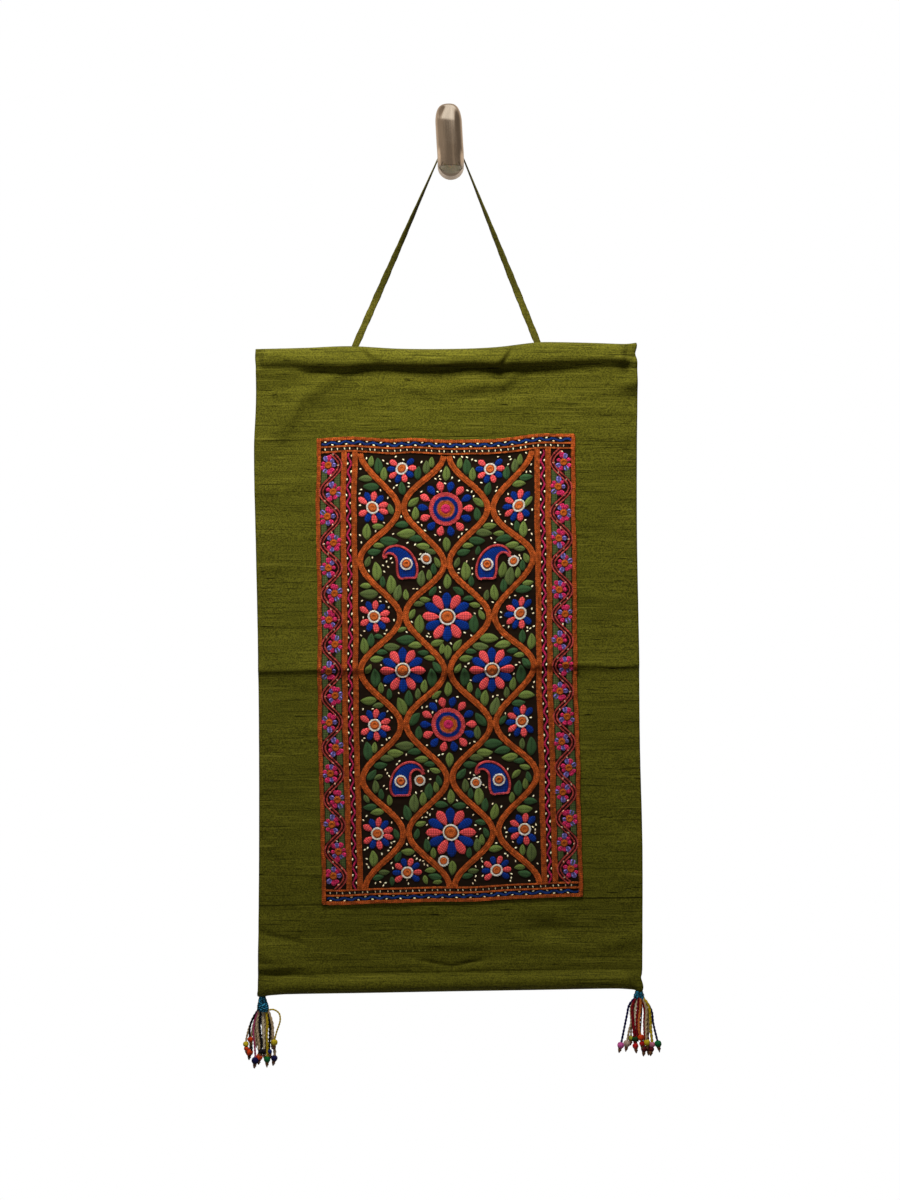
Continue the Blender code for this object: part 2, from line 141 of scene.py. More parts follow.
CLOTH_TOP = table(
    "x z",
    (-0.154, -0.1454),
    (-0.115, -0.1444),
    (-0.080, -0.1431),
    (-0.040, -0.1451),
    (0.004, -0.1452),
    (0.036, -0.1438),
    (0.068, -0.1401),
    (0.085, -0.1399),
    (0.115, -0.1406),
    (0.138, -0.1413),
    (0.147, -0.1404),
)
CLOTH_BOTTOM = table(
    "x z",
    (-0.152, -0.6564),
    (-0.143, -0.6561),
    (-0.130, -0.6552),
    (-0.065, -0.6541),
    (0.000, -0.6529),
    (0.065, -0.6518),
    (0.130, -0.6507),
    (0.143, -0.6514),
    (0.151, -0.6522),
)
PANEL_UPPER = table(
    "x z",
    (-0.106, -0.2158),
    (-0.092, -0.2149),
    (-0.080, -0.2145),
    (-0.066, -0.2157),
    (-0.047, -0.2170),
    (-0.032, -0.2163),
    (-0.010, -0.2172),
    (0.015, -0.2165),
    (0.031, -0.2168),
    (0.047, -0.2156),
    (0.063, -0.2133),
    (0.074, -0.2126),
    (0.086, -0.2130),
    (0.098, -0.2125),
)
PANEL_LOWER = table(
    "x z",
    (-0.102, -0.5839),
    (-0.066, -0.5835),
    (-0.014, -0.5821),
    (0.048, -0.5799),
    (0.104, -0.5779),
)

# Soft folds of the hanging cloth: ridges, or troughs where rise is negative
FOLDS = table(
    "x z slope length width rise",
    (-0.105, -0.1762, 34, 0.023, 0.0070, 0.0032),
    (-0.1255, -0.199, 64, 0.016, 0.0064, 0.0036),
    (-0.073, -0.180, -70, 0.013, 0.0060, 0.0012),
    (-0.026, -0.1770, -8, 0.011, 0.0046, 0.0017),
    (-0.050, -0.192, 88, 0.018, 0.0013, -0.0005),
    (0.007, -0.187, 91, 0.020, 0.0012, -0.0004),
    (0.042, -0.192, 87, 0.022, 0.0014, -0.0006),
    (0.0180, -0.1745, 5, 0.021, 0.0056, 0.0017),
    (0.0180, -0.1828, 5, 0.021, 0.0056, -0.0014),
    (0.0450, -0.1690, 40, 0.012, 0.0048, 0.0024),
    (0.060, -0.181, 62, 0.020, 0.0080, 0.0014),
    (0.104, -0.190, -8, 0.030, 0.0050, 0.0016),
    (0.143, -0.1722, 10, 0.012, 0.0062, 0.0042),
    (-0.128, -0.181, 2, 0.020, 0.0034, 0.0012),
    (-0.124, -0.254, 8, 0.022, 0.0056, 0.0012),
    (-0.140, -0.6262, -14, 0.028, 0.0080, 0.0038),
    (-0.139, -0.6345, 2, 0.020, 0.0026, 0.0018),
    (-0.138, -0.6098, -14, 0.022, 0.0022, -0.0014),
    (-0.001, -0.6150, 0, 0.032, 0.0050, 0.0012),
    (-0.0140, -0.6306, -11, 0.014, 0.0020, -0.0019),
    (0.0125, -0.6308, 11, 0.013, 0.0020, -0.0019),
    (0.078, -0.6032, -2, 0.021, 0.0086, -0.0036),
    (0.136, -0.6130, 12, 0.020, 0.0060, 0.0018),
    (0.030, -0.6335, 1, 0.110, 0.0060, 0.0006),
)

# Creases pressed into the upper pocket, and where its columns crowd together for them
POCKET_FOLDS = table(
    "x z slope length width rise",
    (-0.0655, -0.1466, -36, 0.0085, 0.0024, 0.0026),
    (-0.0685, -0.1500, -36, 0.0075, 0.0016, -0.0012),
    (-0.0105, -0.1490, 84, 0.0050, 0.0020, -0.0010),
    (0.0416, -0.1500, 55, 0.0120, 0.0026, 0.0021),
    (0.0454, -0.1518, 55, 0.0120, 0.0017, -0.0013),
    (0.1400, -0.1530, -15, 0.0090, 0.0024, -0.0013),
    (0.1425, -0.1548, -14, 0.0110, 0.0024, 0.0026),
    (0.1465, -0.1480, 82, 0.0070, 0.0036, -0.0026),
    (-0.1515, -0.1500, 86, 0.0090, 0.0040, -0.0030),
)
CREASED_AT = (-0.0670, 0.0438)

# How much lower the upper pocket's seam runs than the rod would put it, and how far the pocket overhangs it
POCKET_SAGS = table(
    "x drop overhang",
    (-0.154, 0.0000, 0.0),
    (-0.127, -0.0008, 0.2),
    (-0.109, 0.0004, 0.7),
    (-0.085, 0.0015, 1.0),
    (-0.058, -0.0009, 0.9),
    (-0.034, 0.0006, 0.8),
    (-0.008, 0.0010, 1.0),
    (0.018, -0.0002, 0.8),
    (0.040, 0.0012, 1.0),
    (0.075, 0.0006, 1.0),
    (0.098, -0.0002, 0.9),
    (0.113, -0.0008, 0.8),
    (0.124, -0.0008, 0.8),
    (0.147, 0.0016, 0.9),
)

# Notches, or bulges where inward is negative, in the outline near the cloth's corners
DENTS = table(
    "side z inward tall",
    (1, -0.1492, 0.0015, 0.0038),
    (1, -0.1400, 0.0012, 0.0012),
    (1, -0.6415, 0.0011, 0.0026),
    (1, -0.6490, -0.0008, 0.0030),
    (1, -0.6536, 0.0014, 0.0012),
    (-1, -0.1520, -0.0006, 0.0060),
    (-1, -0.6545, -0.0005, 0.0020),
)
TUCKS = table("x drop", (-0.1490, 0.0012), (0.1498, 0.0017))
TUCK_WIDTH = 0.0034
DENT_WIDTH = 0.012
CLOTH_WIDTH = 0.3

# Heights of the thin dark lines drawn across the silk at the panel's upper and lower edges, and how they
# climb
SILK_DARK_LINES = (-0.2142, -0.5813)
SILK_DARK_LINE_SLOPE = 0.022
# Where the painted light on the silk's upper pocket starts, and how much lighter it makes the silk
POCKET_PAINTED_LIGHT = (-0.1545, 1.09)
# How far such a painted change of light spreads, for a whole step in lightness
PAINTED_TONE_SPREAD = 0.042

# The embroidered panel as it was cut, and its borders
PANEL_WIDTH = 0.2055
PANEL_HEIGHT = 0.3665
HALF = PANEL_WIDTH / 2
EDGE_BAR = 0.0031
END_BAR = 0.0024
FLOWER_STRIP = 0.0164
FLOWER_PITCH = 0.0199
VINE_SWING = 0.0070
INNER_BAR = 0.0041
ZIGZAG_STRIP = 0.0045
THIN_BAR = 0.0014
WAVE_STRIP = 0.0041
DASH_STRIP = 0.0026
DASH_PITCH = 0.0050
WAVE_PERIOD = 0.0110
ZIGZAG_PERIOD = 0.0124
SIDE_BORDER = EDGE_BAR + FLOWER_STRIP + 2 * INNER_BAR + ZIGZAG_STRIP
END_BORDER = END_BAR + WAVE_STRIP + DASH_STRIP + 2 * THIN_BAR
FIELD_HALF = HALF - SIDE_BORDER
FIELD_TOP = END_BORDER
FIELD_BOTTOM = PANEL_HEIGHT - END_BORDER

# Points of the meshes, across and down
SILK_COLUMNS = 158
SHEET_POINTS = 246
ROW_CROWDING = 0.035
RING_POINTS = 27
HEM_POINTS = 5
DARK_COLUMNS = 74
DARK_ROWS = 156
STRAND_POINTS = 100
STRAP_STEPS = 70


def screen(red, green, blue):
    """The linear colour for channels as a screen shows them, 0 to 255."""
    channels = []
    for channel in (red, green, blue):
        value = channel / 255
        channels.append(value / 12.92 if value <= 0.04045 else ((value + 0.055) / 1.055) ** 2.4)
    return tuple(channels)


def colour_setting(name, description, red, green, blue):
    return FloatVectorProperty(
        name=name, description=description, subtype="COLOR", size=3, min=0.0, max=1.0,
        default=screen(red, green, blue),
    )


def length_setting(name, description, default):
    return FloatProperty(
        name=name, description=description, default=default, min=0.0, unit="LENGTH", precision=4,
    )


def light_setting(name, description, default):
    return FloatProperty(name=name, description=description, default=default, min=0.0)


class HangingCloth(PropertyGroup):
    """The silk and the dark cloth of the embroidered panel."""

    silk: colour_setting("Silk", "Colour of the raw silk", 78, 76, 19)
    silk_dark: colour_setting("Dark slubs", "Colour of the silk's darker threads", 38, 37, 8)
    silk_light: colour_setting("Light slubs", "Colour of the silk's lighter threads", 100, 96, 31)
    strap: colour_setting("Strap", "Colour of the strap's silk", 82, 77, 26)
    dark_cloth: colour_setting("Dark cloth", "Colour of the embroidered panel's cloth", 22, 14, 8)
    silk_thickness: length_setting("Silk thickness", "Thickness of the silk", 0.0010)
    pucker: length_setting("Pucker", "Height of the dark cloth's small puckers", 0.00035)


class HangingThreads(PropertyGroup):
    """The embroidery threads."""

    rust: colour_setting("Rust", "Bars, stems and flower centres", 193, 94, 40)
    coral: colour_setting("Coral", "Petals", 230, 80, 80)
    cobalt: colour_setting("Cobalt", "Petals", 6, 47, 129)
    crimson: colour_setting("Crimson", "Zigzags and the border's petals", 203, 45, 92)
    lavender: colour_setting("Lavender", "The border's petals", 128, 114, 188)
    light_leaf: colour_setting("Light leaf", "Light leaves", 97, 113, 54)
    mid_leaf: colour_setting("Mid leaf", "Leaves", 80, 93, 50)
    dark_leaf: colour_setting("Dark leaf", "Dark leaves", 47, 75, 43)
    cream: colour_setting("Cream", "Rings round the flowers' middles", 255, 238, 212)
    knots: colour_setting("Knots", "Single knots and dashes", 255, 226, 178)
    amber: colour_setting("Amber", "Middles of the border's flowers", 184, 88, 26)
    wave: colour_setting("Wave", "The blue wave along the upper and lower edges", 28, 62, 130)
    vine: colour_setting("Vine", "The border's winding vine", 202, 82, 75)
    vine_dark: colour_setting("Vine's middle", "The dark line between the vine's two lines", 47, 7, 12)
    black: colour_setting("Black", "The slanted stitches between the cream dashes", 52, 42, 35)


class HangingStitches(PropertyGroup):
    """Sizes of the stitches."""

    link_length: length_setting("Link length", "Length of one chain stitch", 0.0021)
    link_width: length_setting("Link width", "Width of one chain stitch", 0.0013)
    link_pitch: length_setting("Link pitch", "Distance from one chain stitch to the next", 0.00165)
    thread: length_setting("Thread", "Thickness of the embroidery thread", 0.0005)
    pad_rise: length_setting("Pad rise", "Height of a filled leaf or petal", 0.0013)
    knot_length: length_setting("Knot length", "Length of a cream knot", 0.0020)
    knot_width: length_setting("Knot width", "Width of a cream knot", 0.00105)
    seed: IntProperty(name="Seed", description="Seed of everything that varies", default=7, min=0)


class HangingPeg(PropertyGroup):
    """The wall peg."""

    metal: colour_setting("Metal", "Colour of the brushed nickel", 204, 190, 172)
    # The lighter polished colour paints the elbow's reflection
    polished: colour_setting("Polished metal", "Colour of the polished elbow", 226, 228, 214)
    sides: IntProperty(name="Sides", description="Facets round the bar", default=64, min=16, max=128)


class HangingTassels(PropertyGroup):
    """The tassels."""

    wrapping: colour_setting("Wrapping", "Colour of the thread round the heads", 33, 95, 119)
    wrap_thread: length_setting("Wrap thread", "Thickness of the wrapping thread", 0.0010)
    cord_sides: IntProperty(name="Cord sides", description="Facets round a strand", default=8, min=6, max=16)


class HangingStage(PropertyGroup):
    """Camera, lights and floor."""

    lens: FloatProperty(name="Lens", description="Focal length", default=85.0, min=20.0, unit="CAMERA")
    key_power: light_setting("Key power", "Power of the light above", 14.8)
    fill_power: light_setting("Fill power", "Power of the light in front", 3.1)
    around: light_setting("Surroundings", "Brightness of the room", 0.112)
    mirrored: light_setting("Mirrored room", "Brightness of the room in gloss", 0.28)
    floor: colour_setting("Floor", "Colour of the floor", 203, 202, 198)


def stacked(*parts):
    """Arrays side by side along a new last axis."""
    return np.stack(parts, axis=-1)


def smooth_step(value):
    held = np.clip(value, 0.0, 1.0)
    return held * held * (3 - 2 * held)


def curve_at(places, heights, at):
    """Heights of a smooth curve through the given points, at one place or at many."""
    places = np.asarray(places, float)
    heights = np.asarray(heights, float)
    at = np.clip(np.asarray(at, float), places[0], places[-1])
    index = np.clip(np.searchsorted(places, at, side="right") - 1, 0, len(places) - 2)
    slopes = np.empty(len(places))
    slopes[1:-1] = (heights[2:] - heights[:-2]) / (places[2:] - places[:-2])
    slopes[0] = (heights[1] - heights[0]) / (places[1] - places[0])
    slopes[-1] = (heights[-1] - heights[-2]) / (places[-1] - places[-2])
    span = places[index + 1] - places[index]
    part = (at - places[index]) / span
    start = heights[index] * (1 + 2 * part) * (1 - part) ** 2 + slopes[index] * span * part * (1 - part) ** 2
    end = heights[index + 1] * part**2 * (3 - 2 * part) + slopes[index + 1] * span * part**2 * (part - 1)
    return start + end


def steps_along(path):
    """How far along a path each of its places is."""
    return np.concatenate([[0.0], np.cumsum(np.linalg.norm(np.diff(path, axis=0), axis=1))])


def smooth_path(points, count):
    """A smooth path of that many places through a few points, evenly spread along it."""
    points = np.asarray(points, float)
    along = steps_along(points)
    fine = np.linspace(0.0, along[-1], count * 4)
    dense = np.stack([curve_at(along, points[:, axis], fine) for axis in range(points.shape[1])], axis=1)
    return even_path(dense, count)


def even_path(points, count):
    """The same path with that many evenly spread places."""
    along = steps_along(points)
    spread = np.linspace(0.0, along[-1], count)
    return np.stack([np.interp(spread, along, points[:, axis]) for axis in range(points.shape[1])], axis=1)


def path_length(points):
    return float(np.linalg.norm(np.diff(points, axis=0), axis=1).sum())


def column_at(rows, column, at, by="x"):
    """A column of a table, read between its rows."""
    return curve_at([getattr(row, by) for row in rows], [getattr(row, column) for row in rows], at)


def edge_z(edge, x):
    return column_at(edge, "z", x)


def side_x(sides, drop, across):
    left = column_at(sides, "left", drop, "drop")
    right = column_at(sides, "right", drop, "drop")
    return left + (right - left) * across


def fold_rise(fold, x, z):
    turn = radians(fold.slope)
    along = (x - fold.x) * cos(turn) + (z - fold.z) * sin(turn)
    aside = (z - fold.z) * cos(turn) - (x - fold.x) * sin(turn)
    return fold.rise * np.exp(-((along / fold.length) ** 2) - (aside / fold.width) ** 2)


RIPPLES = np.random.default_rng(11).uniform(-1.0, 1.0, (64, 512))


def lumps(x, z, wide, tall):
    """Smooth random heights from -1 to 1, in lumps of about the given size."""
    across = (np.asarray(x, float) + 0.5) / wide
    down = (1.0 - np.asarray(z, float)) / tall
    column = np.floor(across).astype(int)
    row = np.floor(down).astype(int)
    aside = smooth_step(across - column)
    below = smooth_step(down - row)
    left = RIPPLES[column % 64, row % 512] * (1 - below) + RIPPLES[column % 64, (row + 1) % 512] * below
    after = (column + 1) % 64
    right = RIPPLES[after, row % 512] * (1 - below) + RIPPLES[after, (row + 1) % 512] * below
    return left * (1 - aside) + right * aside


def ripple_rise(x, z):
    """Shallow ripples along the weft, which the embroidered panel holds flat."""
    held = smooth_step((0.108 - np.abs(x)) / 0.008)
    held = held * smooth_step((-0.208 - z) / 0.008) * smooth_step((z + 0.592) / 0.008)
    ripples = 0.00038 * lumps(x, z, 0.050, 0.0085) + 0.00020 * lumps(x, z, 0.034, 0.0043)
    return ripples * (1 - 0.75 * held)


def overhang(x):
    return np.clip(column_at(POCKET_SAGS, "overhang", x), 0.0, 1.0)


def cloth_depth(x, z):
    """How far the middle of the silk stands from the wall."""
    crest = edge_z(CLOTH_TOP, x) - CREASE_DROP
    flank = np.where(z > crest, CREASE_ABOVE, CREASE_BELOW)
    crease = CREASE_RISE * np.exp(-np.abs(z - crest) / flank)
    wave = WAVE_RISE * np.sin(x / 0.029 + z / 0.071) * np.sin(z / 0.043 - x / 0.113)
    folds = sum(fold_rise(fold, x, z) for fold in FOLDS)
    lift = END_LIFT * (1 - overhang(x)) * np.exp(-(((z - END_LIFT_Z) / END_LIFT_TALL) ** 2))
    return HANG_DEPTH + crease + wave + folds + lift + ripple_rise(x, z)


def pucker_rise(x, z, size):
    """Small puckers that run across the dark cloth between the stitched parts."""
    first = np.sin(z / 0.0021 + 1.7 * np.sin(x / 0.019)) * np.sin(x / 0.013 + z / 0.031)
    second = np.sin(z / 0.0037 - 1.3 * np.sin(x / 0.027 + 1.0))
    return size * (0.6 * first + 0.4 * second)


def on_panel(across, down, rise):
    """Points in space for places on the panel, measured from its middle line and from its upper edge."""
    across = np.asarray(across, float)
    down = np.asarray(down, float)
    wander = 0.0004 * np.sin(down / 0.019 + 1.0) + 0.0002 * np.sin(down / 0.0071 + across / 0.05)
    sway = 0.0004 * np.sin(across / 0.017 + 0.5) + 0.0002 * np.sin(across / 0.0083 + down / 0.06)
    part = 0.5 + (across + wander) / PANEL_WIDTH
    share = (down + sway) / PANEL_HEIGHT
    upper = edge_z(PANEL_UPPER, side_x(PANEL_SIDES, 0.0, part))
    lower = edge_z(PANEL_LOWER, side_x(PANEL_SIDES, PANEL_SIDES[-1].drop, part))
    z = upper + (lower - upper) * share
    x = side_x(PANEL_SIDES, PANEL_TOP - z, part)
    front = CLOTH / 2 + PANEL_LIFT + PANEL_THICKNESS
    y = -(cloth_depth(x, z) + front + rise)
    return stacked(x, y, z)


def add_node(tree, kind, inputs=None, **settings):
    """Adds a node with its settings, and links or sets its inputs by name or number."""
    made = tree.nodes.new(kind)
    for name, value in settings.items():
        setattr(made, name, value)
    for name, value in (inputs or {}).items():
        if isinstance(value, bpy.types.NodeSocket):
            tree.links.new(value, made.inputs[name])
        else:
            made.inputs[name].default_value = value
    return made


def tree_of(*values):
    """The node tree of the first socket among the values."""
    return next(value.id_data for value in values if isinstance(value, bpy.types.NodeSocket))


def maths(operation, first, second=0.0):
    inputs = {0: first, 1: second}
    return add_node(tree_of(first, second), "ShaderNodeMath", inputs, operation=operation).outputs[0]


def plus(first, second):
    return maths("ADD", first, second)


def minus(first, second):
    return maths("SUBTRACT", first, second)


def times(first, second):
    return maths("MULTIPLY", first, second)


def apart(first, second):
    """How far apart two values are."""
    return maths("ABSOLUTE", minus(first, second))


def blend(amount, first, second, way="MIX"):
    """One colour mixed with another."""
    tree = tree_of(amount, first, second)
    inputs = {0: amount, 6: first, 7: second}
    return add_node(tree, "ShaderNodeMix", inputs, data_type="RGBA", blend_type=way).outputs[2]


def opaque(colour):
    return (colour[0], colour[1], colour[2], 1.0)


def shaded(colour, amount):
    return tuple(min(channel * amount, 1.0) for channel in colour) + (1.0,)


def new_finish(name, roughness, specular=0.15, **constants):
    """A material, its tree and its shader, with the shader's constants set on its own sockets."""
    made = bpy.data.materials.new(name)
    made.use_nodes = True
    tree = made.node_tree
    shader = tree.nodes["Principled BSDF"]
    shader.inputs["Roughness"].default_value = roughness
    shader.inputs["Specular IOR Level"].default_value = specular
    for socket, value in constants.items():
        shader.inputs[socket.replace("_", " ")].default_value = value
    return made, tree, shader


def object_place(tree):
    return add_node(tree, "ShaderNodeTexCoord").outputs["Object"]


def place_parts(place):
    return add_node(place.id_data, "ShaderNodeSeparateXYZ", {0: place}).outputs


def stretched(tree, scale, detail=2.0, rough=0.5):
    """Noise on object coordinates, stretched by a scale for each axis."""
    mapped = add_node(tree, "ShaderNodeMapping", {"Vector": object_place(tree), "Scale": scale}).outputs[0]
    inputs = {"Vector": mapped, "Scale": 1.0, "Detail": detail, "Roughness": rough}
    return add_node(tree, "ShaderNodeTexNoise", inputs).outputs["Fac"]


def between(value, low, high):
    """The value spread from 0 at low to 1 at high."""
    inputs = {"Value": value, "From Min": low, "From Max": high}
    return add_node(value.id_data, "ShaderNodeMapRange", inputs, interpolation_type="SMOOTHSTEP").outputs[0]


def finished(shader, base, height, distance, strength=1.0):
    """Links the colour and the bump to the shader."""
    tree = shader.id_data
    tree.links.new(base, shader.inputs["Base Color"])
    inputs = {"Height": height, "Distance": distance, "Strength": strength}
    tree.links.new(add_node(tree, "ShaderNodeBump", inputs).outputs[0], shader.inputs["Normal"])


def silk_finish(name, colour, dark, light, dark_lines_at=(), slub=0.3, above=(1.0, 1.0)):
    """Raw silk: slubs along the weft, a fine grain, thin dark lines across it, and above a given height a
    tone multiplied in: painted light where the tone is over 1, painted shade where it is under 1.
    """
    made, tree, shader = new_finish(name, 0.6, 0.2, Specular_Tint=opaque(light))
    short = stretched(tree, (52.0, 52.0, 1050.0), 2.0, 0.55)
    long = stretched(tree, (24.0, 24.0, 1050.0), 2.0, 0.6)
    bands = stretched(tree, (16.0, 16.0, 80.0), 3.0, 0.6)
    grain = stretched(tree, (950.0, 950.0, 1150.0), 2.0, 0.75)
    clouds = stretched(tree, (12.0, 12.0, 34.0), 2.0)
    base = blend(between(clouds, 0.32, 0.68), shaded(colour, 1.08), shaded(colour, 0.94))
    zones = between(bands, 0.36, 0.66)
    base = blend(zones, blend(0.10, base, opaque(light)), blend(0.14, base, opaque(dark)))
    base = blend(between(grain, 0.39, 0.61), base, blend(0.78, base, opaque(dark)))
    base = blend(times(between(long, 0.40, 0.32), 0.45), base, opaque(light))
    base = blend(times(between(long, 0.60, 0.67), 0.75), base, shaded(dark, 0.8))
    base = blend(between(short, 0.66, 0.72), base, shaded(dark, slub))
    place = place_parts(object_place(tree))
    # Thin dark lines across the silk at the given heights, climbing slightly to the right.
    for level in dark_lines_at:
        drift = minus(place[2], times(place[0], SILK_DARK_LINE_SLOPE))
        drift = plus(drift, times(long, 0.0012))
        away = apart(drift, level)
        line = times(between(away, 0.0008, 0.0002), between(clouds, 0.44, 0.60))
        base = blend(line, base, shaded(dark, 0.5))
    # Above the given height the colour is multiplied by the tone: painted light where it is over 1, painted
    # shade where it is under 1.
    level, tone = above
    upper = between(place[2], level - PAINTED_TONE_SPREAD * abs(1 - tone), level)
    base = blend(upper, base, (tone, tone, tone * 1.05, 1.0), "MULTIPLY")
    height = plus(times(bands, 0.5), times(grain, 0.4))
    height = minus(height, times(long, 0.35))
    finished(shader, base, height, 0.0005, 0.8)
    return made


def dark_cloth_finish(name, colour):
    """Near-black cotton with a fine weave, and lighter streaks painted along its puckers as their highlights.
    """
    made, tree, shader = new_finish(name, 0.85, 0.1)
    weave = stretched(tree, (1300.0, 1300.0, 1500.0), 2.0)
    puckers = stretched(tree, (40.0, 40.0, 260.0), 3.0)
    # Painted highlight: lighter streaks on the dark cloth where the pucker noise is high.
    base = blend(between(puckers, 0.45, 0.75), opaque(colour), shaded(colour, 1.7))
    base = blend(times(weave, 0.5), base, shaded(colour, 0.45))
    height = plus(puckers, times(weave, 0.25))
    finished(shader, base, height, 0.0006, 0.8)
    return made


def thread_finish(name, colour, rows=True, low=0.28, fishbone=False):
    """Stranded cotton, darkest at a tint of 0, where pads also carry painted shade. Pads, whose UV map counts
    rows, show their stitches, with painted shade in the grooves between them.
    """
    made, tree, shader = new_finish(name, 0.66, 0.2, Sheen_Weight=0.12, Sheen_Tint=opaque(colour))
    tint = add_node(tree, "ShaderNodeAttribute", attribute_name="tint").outputs["Fac"]
    fuzz = stretched(tree, (900.0, 900.0, 900.0), 3.0, 0.65)
    base = blend(tint, shaded(colour, low), shaded(colour, 1.2 if rows else 1.5))
    base = blend(between(fuzz, 0.60, 0.40), base, blend(0.5, base, shaded(colour, 0.4)))
    height = fuzz
    if rows:
        place = place_parts(add_node(tree, "ShaderNodeUVMap", uv_map="rows").outputs[0])
        across = place[1] if fishbone else maths("FRACT", place[1])
        aside = apart(across, 0.5)
        if fishbone:
            ridge = between(aside, -0.15, 0.35)
        else:
            ridge = minus(1.0, maths("POWER", times(aside, 2.0), 2.0))
        slant = minus(times(place[0], 0.7), aside)
        link = maths("SINE", times(slant, tau))
        link = plus(0.65, times(link, 0.35))
        stitch = times(ridge, link)
        # Painted shade in the grooves between stitches.
        base = blend(between(stitch, 0.66, 0.06), base, shaded(colour, 0.16))
        height = plus(stitch, times(fuzz, 0.4))
    finished(shader, base, height, 0.0003, 0.8)
    return made


def cord_finish(name, colour, painted_gaps_and_glints=0.0):
    """Twisted thread, uneven in colour along it; the mottling amount adds painted shade in dark gaps, as
    between crochet loops, and painted highlights as bright specks.
    """
    made, tree, shader = new_finish(name, 0.7, 0.15, Sheen_Weight=0.1, Sheen_Tint=opaque(colour))
    fuzz = stretched(tree, (1400.0, 1400.0, 1400.0), 2.0, 0.6)
    uneven = stretched(tree, (60.0, 60.0, 90.0), 2.0)
    gaps = stretched(tree, (900.0, 900.0, 900.0), 1.0)
    base = blend(between(uneven, 0.3, 0.7), shaded(colour, 0.8), shaded(colour, 1.15))
    base = blend(between(fuzz, 0.62, 0.4), base, shaded(colour, 0.5))
    # Painted shade in the gaps, and painted highlights on the bright specks.
    base = blend(times(between(gaps, 0.48, 0.62), painted_gaps_and_glints), base, shaded(colour, 0.1))
    base = blend(times(between(gaps, 0.44, 0.30), painted_gaps_and_glints), base, shaded(colour, 2.6))
    finished(shader, base, fuzz, 0.0002, 0.6)
    return made


def bead_finish(name, colour):
    """Worn painted beads with faint streaks."""
    made, tree, shader = new_finish(name, 0.45, 0.12)
    streaks = stretched(tree, (900.0, 900.0, 120.0), 2.0)
    base = blend(between(streaks, 0.35, 0.7), shaded(colour, 0.65), shaded(colour, 1.15))
    finished(shader, base, streaks, 0.0001, 0.4)
    return made


def metal_finish(name, colour, polished):
    """Brushed nickel with a few marks, and a polished, rougher zone on the elbow below a fine dark line,
    whose lighter colour is painted reflection; dark hooks at its sides are the strap's painted reflection.
    """
    made, tree, shader = new_finish(name, 0.3, 0.5, Metallic=1.0)
    brush = stretched(tree, (2600.0, 900.0, 60.0), 3.0, 0.6)
    marks = stretched(tree, (120.0, 120.0, 160.0), 4.0, 0.7)
    parts = place_parts(object_place(tree))
    front = between(parts[1], -PEG_REACH + 0.008, -PEG_REACH + 0.004)
    # Painted reflection: the elbow's front below the line takes the lighter polished colour.
    bright = times(between(parts[2], POLISH_LINE + 0.0003, POLISH_LINE - 0.0003), front)
    away = apart(parts[2], POLISH_LINE)
    line = times(between(away, 0.0005, 0.0001), 0.6)
    # Painted reflection of the strap: dark hooks curving down both sides of the elbow below the line.
    drop = minus(POLISH_LINE + 0.0022, parts[2])
    painted_strap_reflection = minus(maths("ABSOLUTE", parts[0]), times(drop, 0.65))
    painted_strap_reflection = apart(painted_strap_reflection, 0.0062)
    inside = times(between(drop, -0.0008, 0.0004), between(drop, 0.0058, 0.0046))
    painted_strap_reflection = times(between(painted_strap_reflection, 0.0009, 0.0002), inside)
    line = times(maths("MAXIMUM", line, times(painted_strap_reflection, 0.7)), front)
    base = blend(between(brush, 0.3, 0.7), shaded(colour, 0.86), shaded(colour, 1.08))
    base = blend(between(marks, 0.62, 0.8), base, shaded(colour, 0.7))
    base = blend(bright, base, opaque(polished))
    base = blend(line, base, shaded(colour, 0.3))
    rough = plus(0.12, times(brush, 0.06))
    rough = plus(rough, times(bright, 0.26))
    tree.links.new(rough, shader.inputs["Roughness"])
    finished(shader, base, brush, 0.00005, 0.05)
    return made


def wood_finish(name):
    """Plain sanded dowel."""
    made, tree, shader = new_finish(name, 0.6)
    grain = stretched(tree, (30.0, 700.0, 700.0), 3.0, 0.6)
    pale = screen(196, 158, 110)
    base = blend(between(grain, 0.3, 0.7), opaque(pale), shaded(pale, 0.6))
    finished(shader, base, grain, 0.0002, 0.4)
    return made


def add_object(name, data):
    made = bpy.data.objects.new(name, data)
    bpy.context.collection.objects.link(made)
    return made


def new_mesh(name, points, edges, faces):
    mesh = bpy.data.meshes.new(name)
    mesh.from_pydata(np.asarray(points, float).tolist(), edges, faces)
    return mesh


def add_mesh(name, points, faces, surface, rows=None, tint=None, smooth=True):
    """A new object with its place in its mesh, a material, and a UV map and a tint where given."""
    mesh = new_mesh(name, points, [], [list(face) for face in faces])
    mesh.validate()
    if rows is not None:
        loops = np.empty(len(mesh.loops), np.int32)
        mesh.loops.foreach_get("vertex_index", loops)
        layer = mesh.uv_layers.new(name="rows")
        layer.data.foreach_set("uv", np.asarray(rows, np.float32)[loops].ravel())
    if tint is not None:
        mesh.attributes.new("tint", "FLOAT", "POINT").data.foreach_set("value", np.asarray(tint, np.float32))
    if smooth:
        mesh.shade_smooth()
    mesh.materials.append(surface)
    return add_object(name, mesh)


def keep(piece, slot, *replaced):
    """Makes a finished object a piece of the hanging."""
    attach(piece, BODY)
    if replaced:
        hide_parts(*replaced)
    return piece


def add_solid(name, shape, surface):
    """Adds a closed piece from its points and faces, with every face turned outwards."""
    piece = add_mesh(name, *shape, surface)
    body = bmesh.new()
    body.from_mesh(piece.data)
    bmesh.ops.recalc_face_normals(body, faces=body.faces)
    body.to_mesh(piece.data)
    body.free()
    return piece


def grid_faces(wide, tall, first=0, around=False):
    """Faces of a grid of points, stored column by column; around joins the last column to the first."""
    columns = np.arange(wide if around else wide - 1)
    down = np.arange(tall - 1)
    near = first + columns[:, None] * tall + down[None, :]
    far = first + ((columns[:, None] + 1) % wide) * tall + down[None, :]
    return stacked(near, near + 1, far + 1, far).reshape(-1, 4)


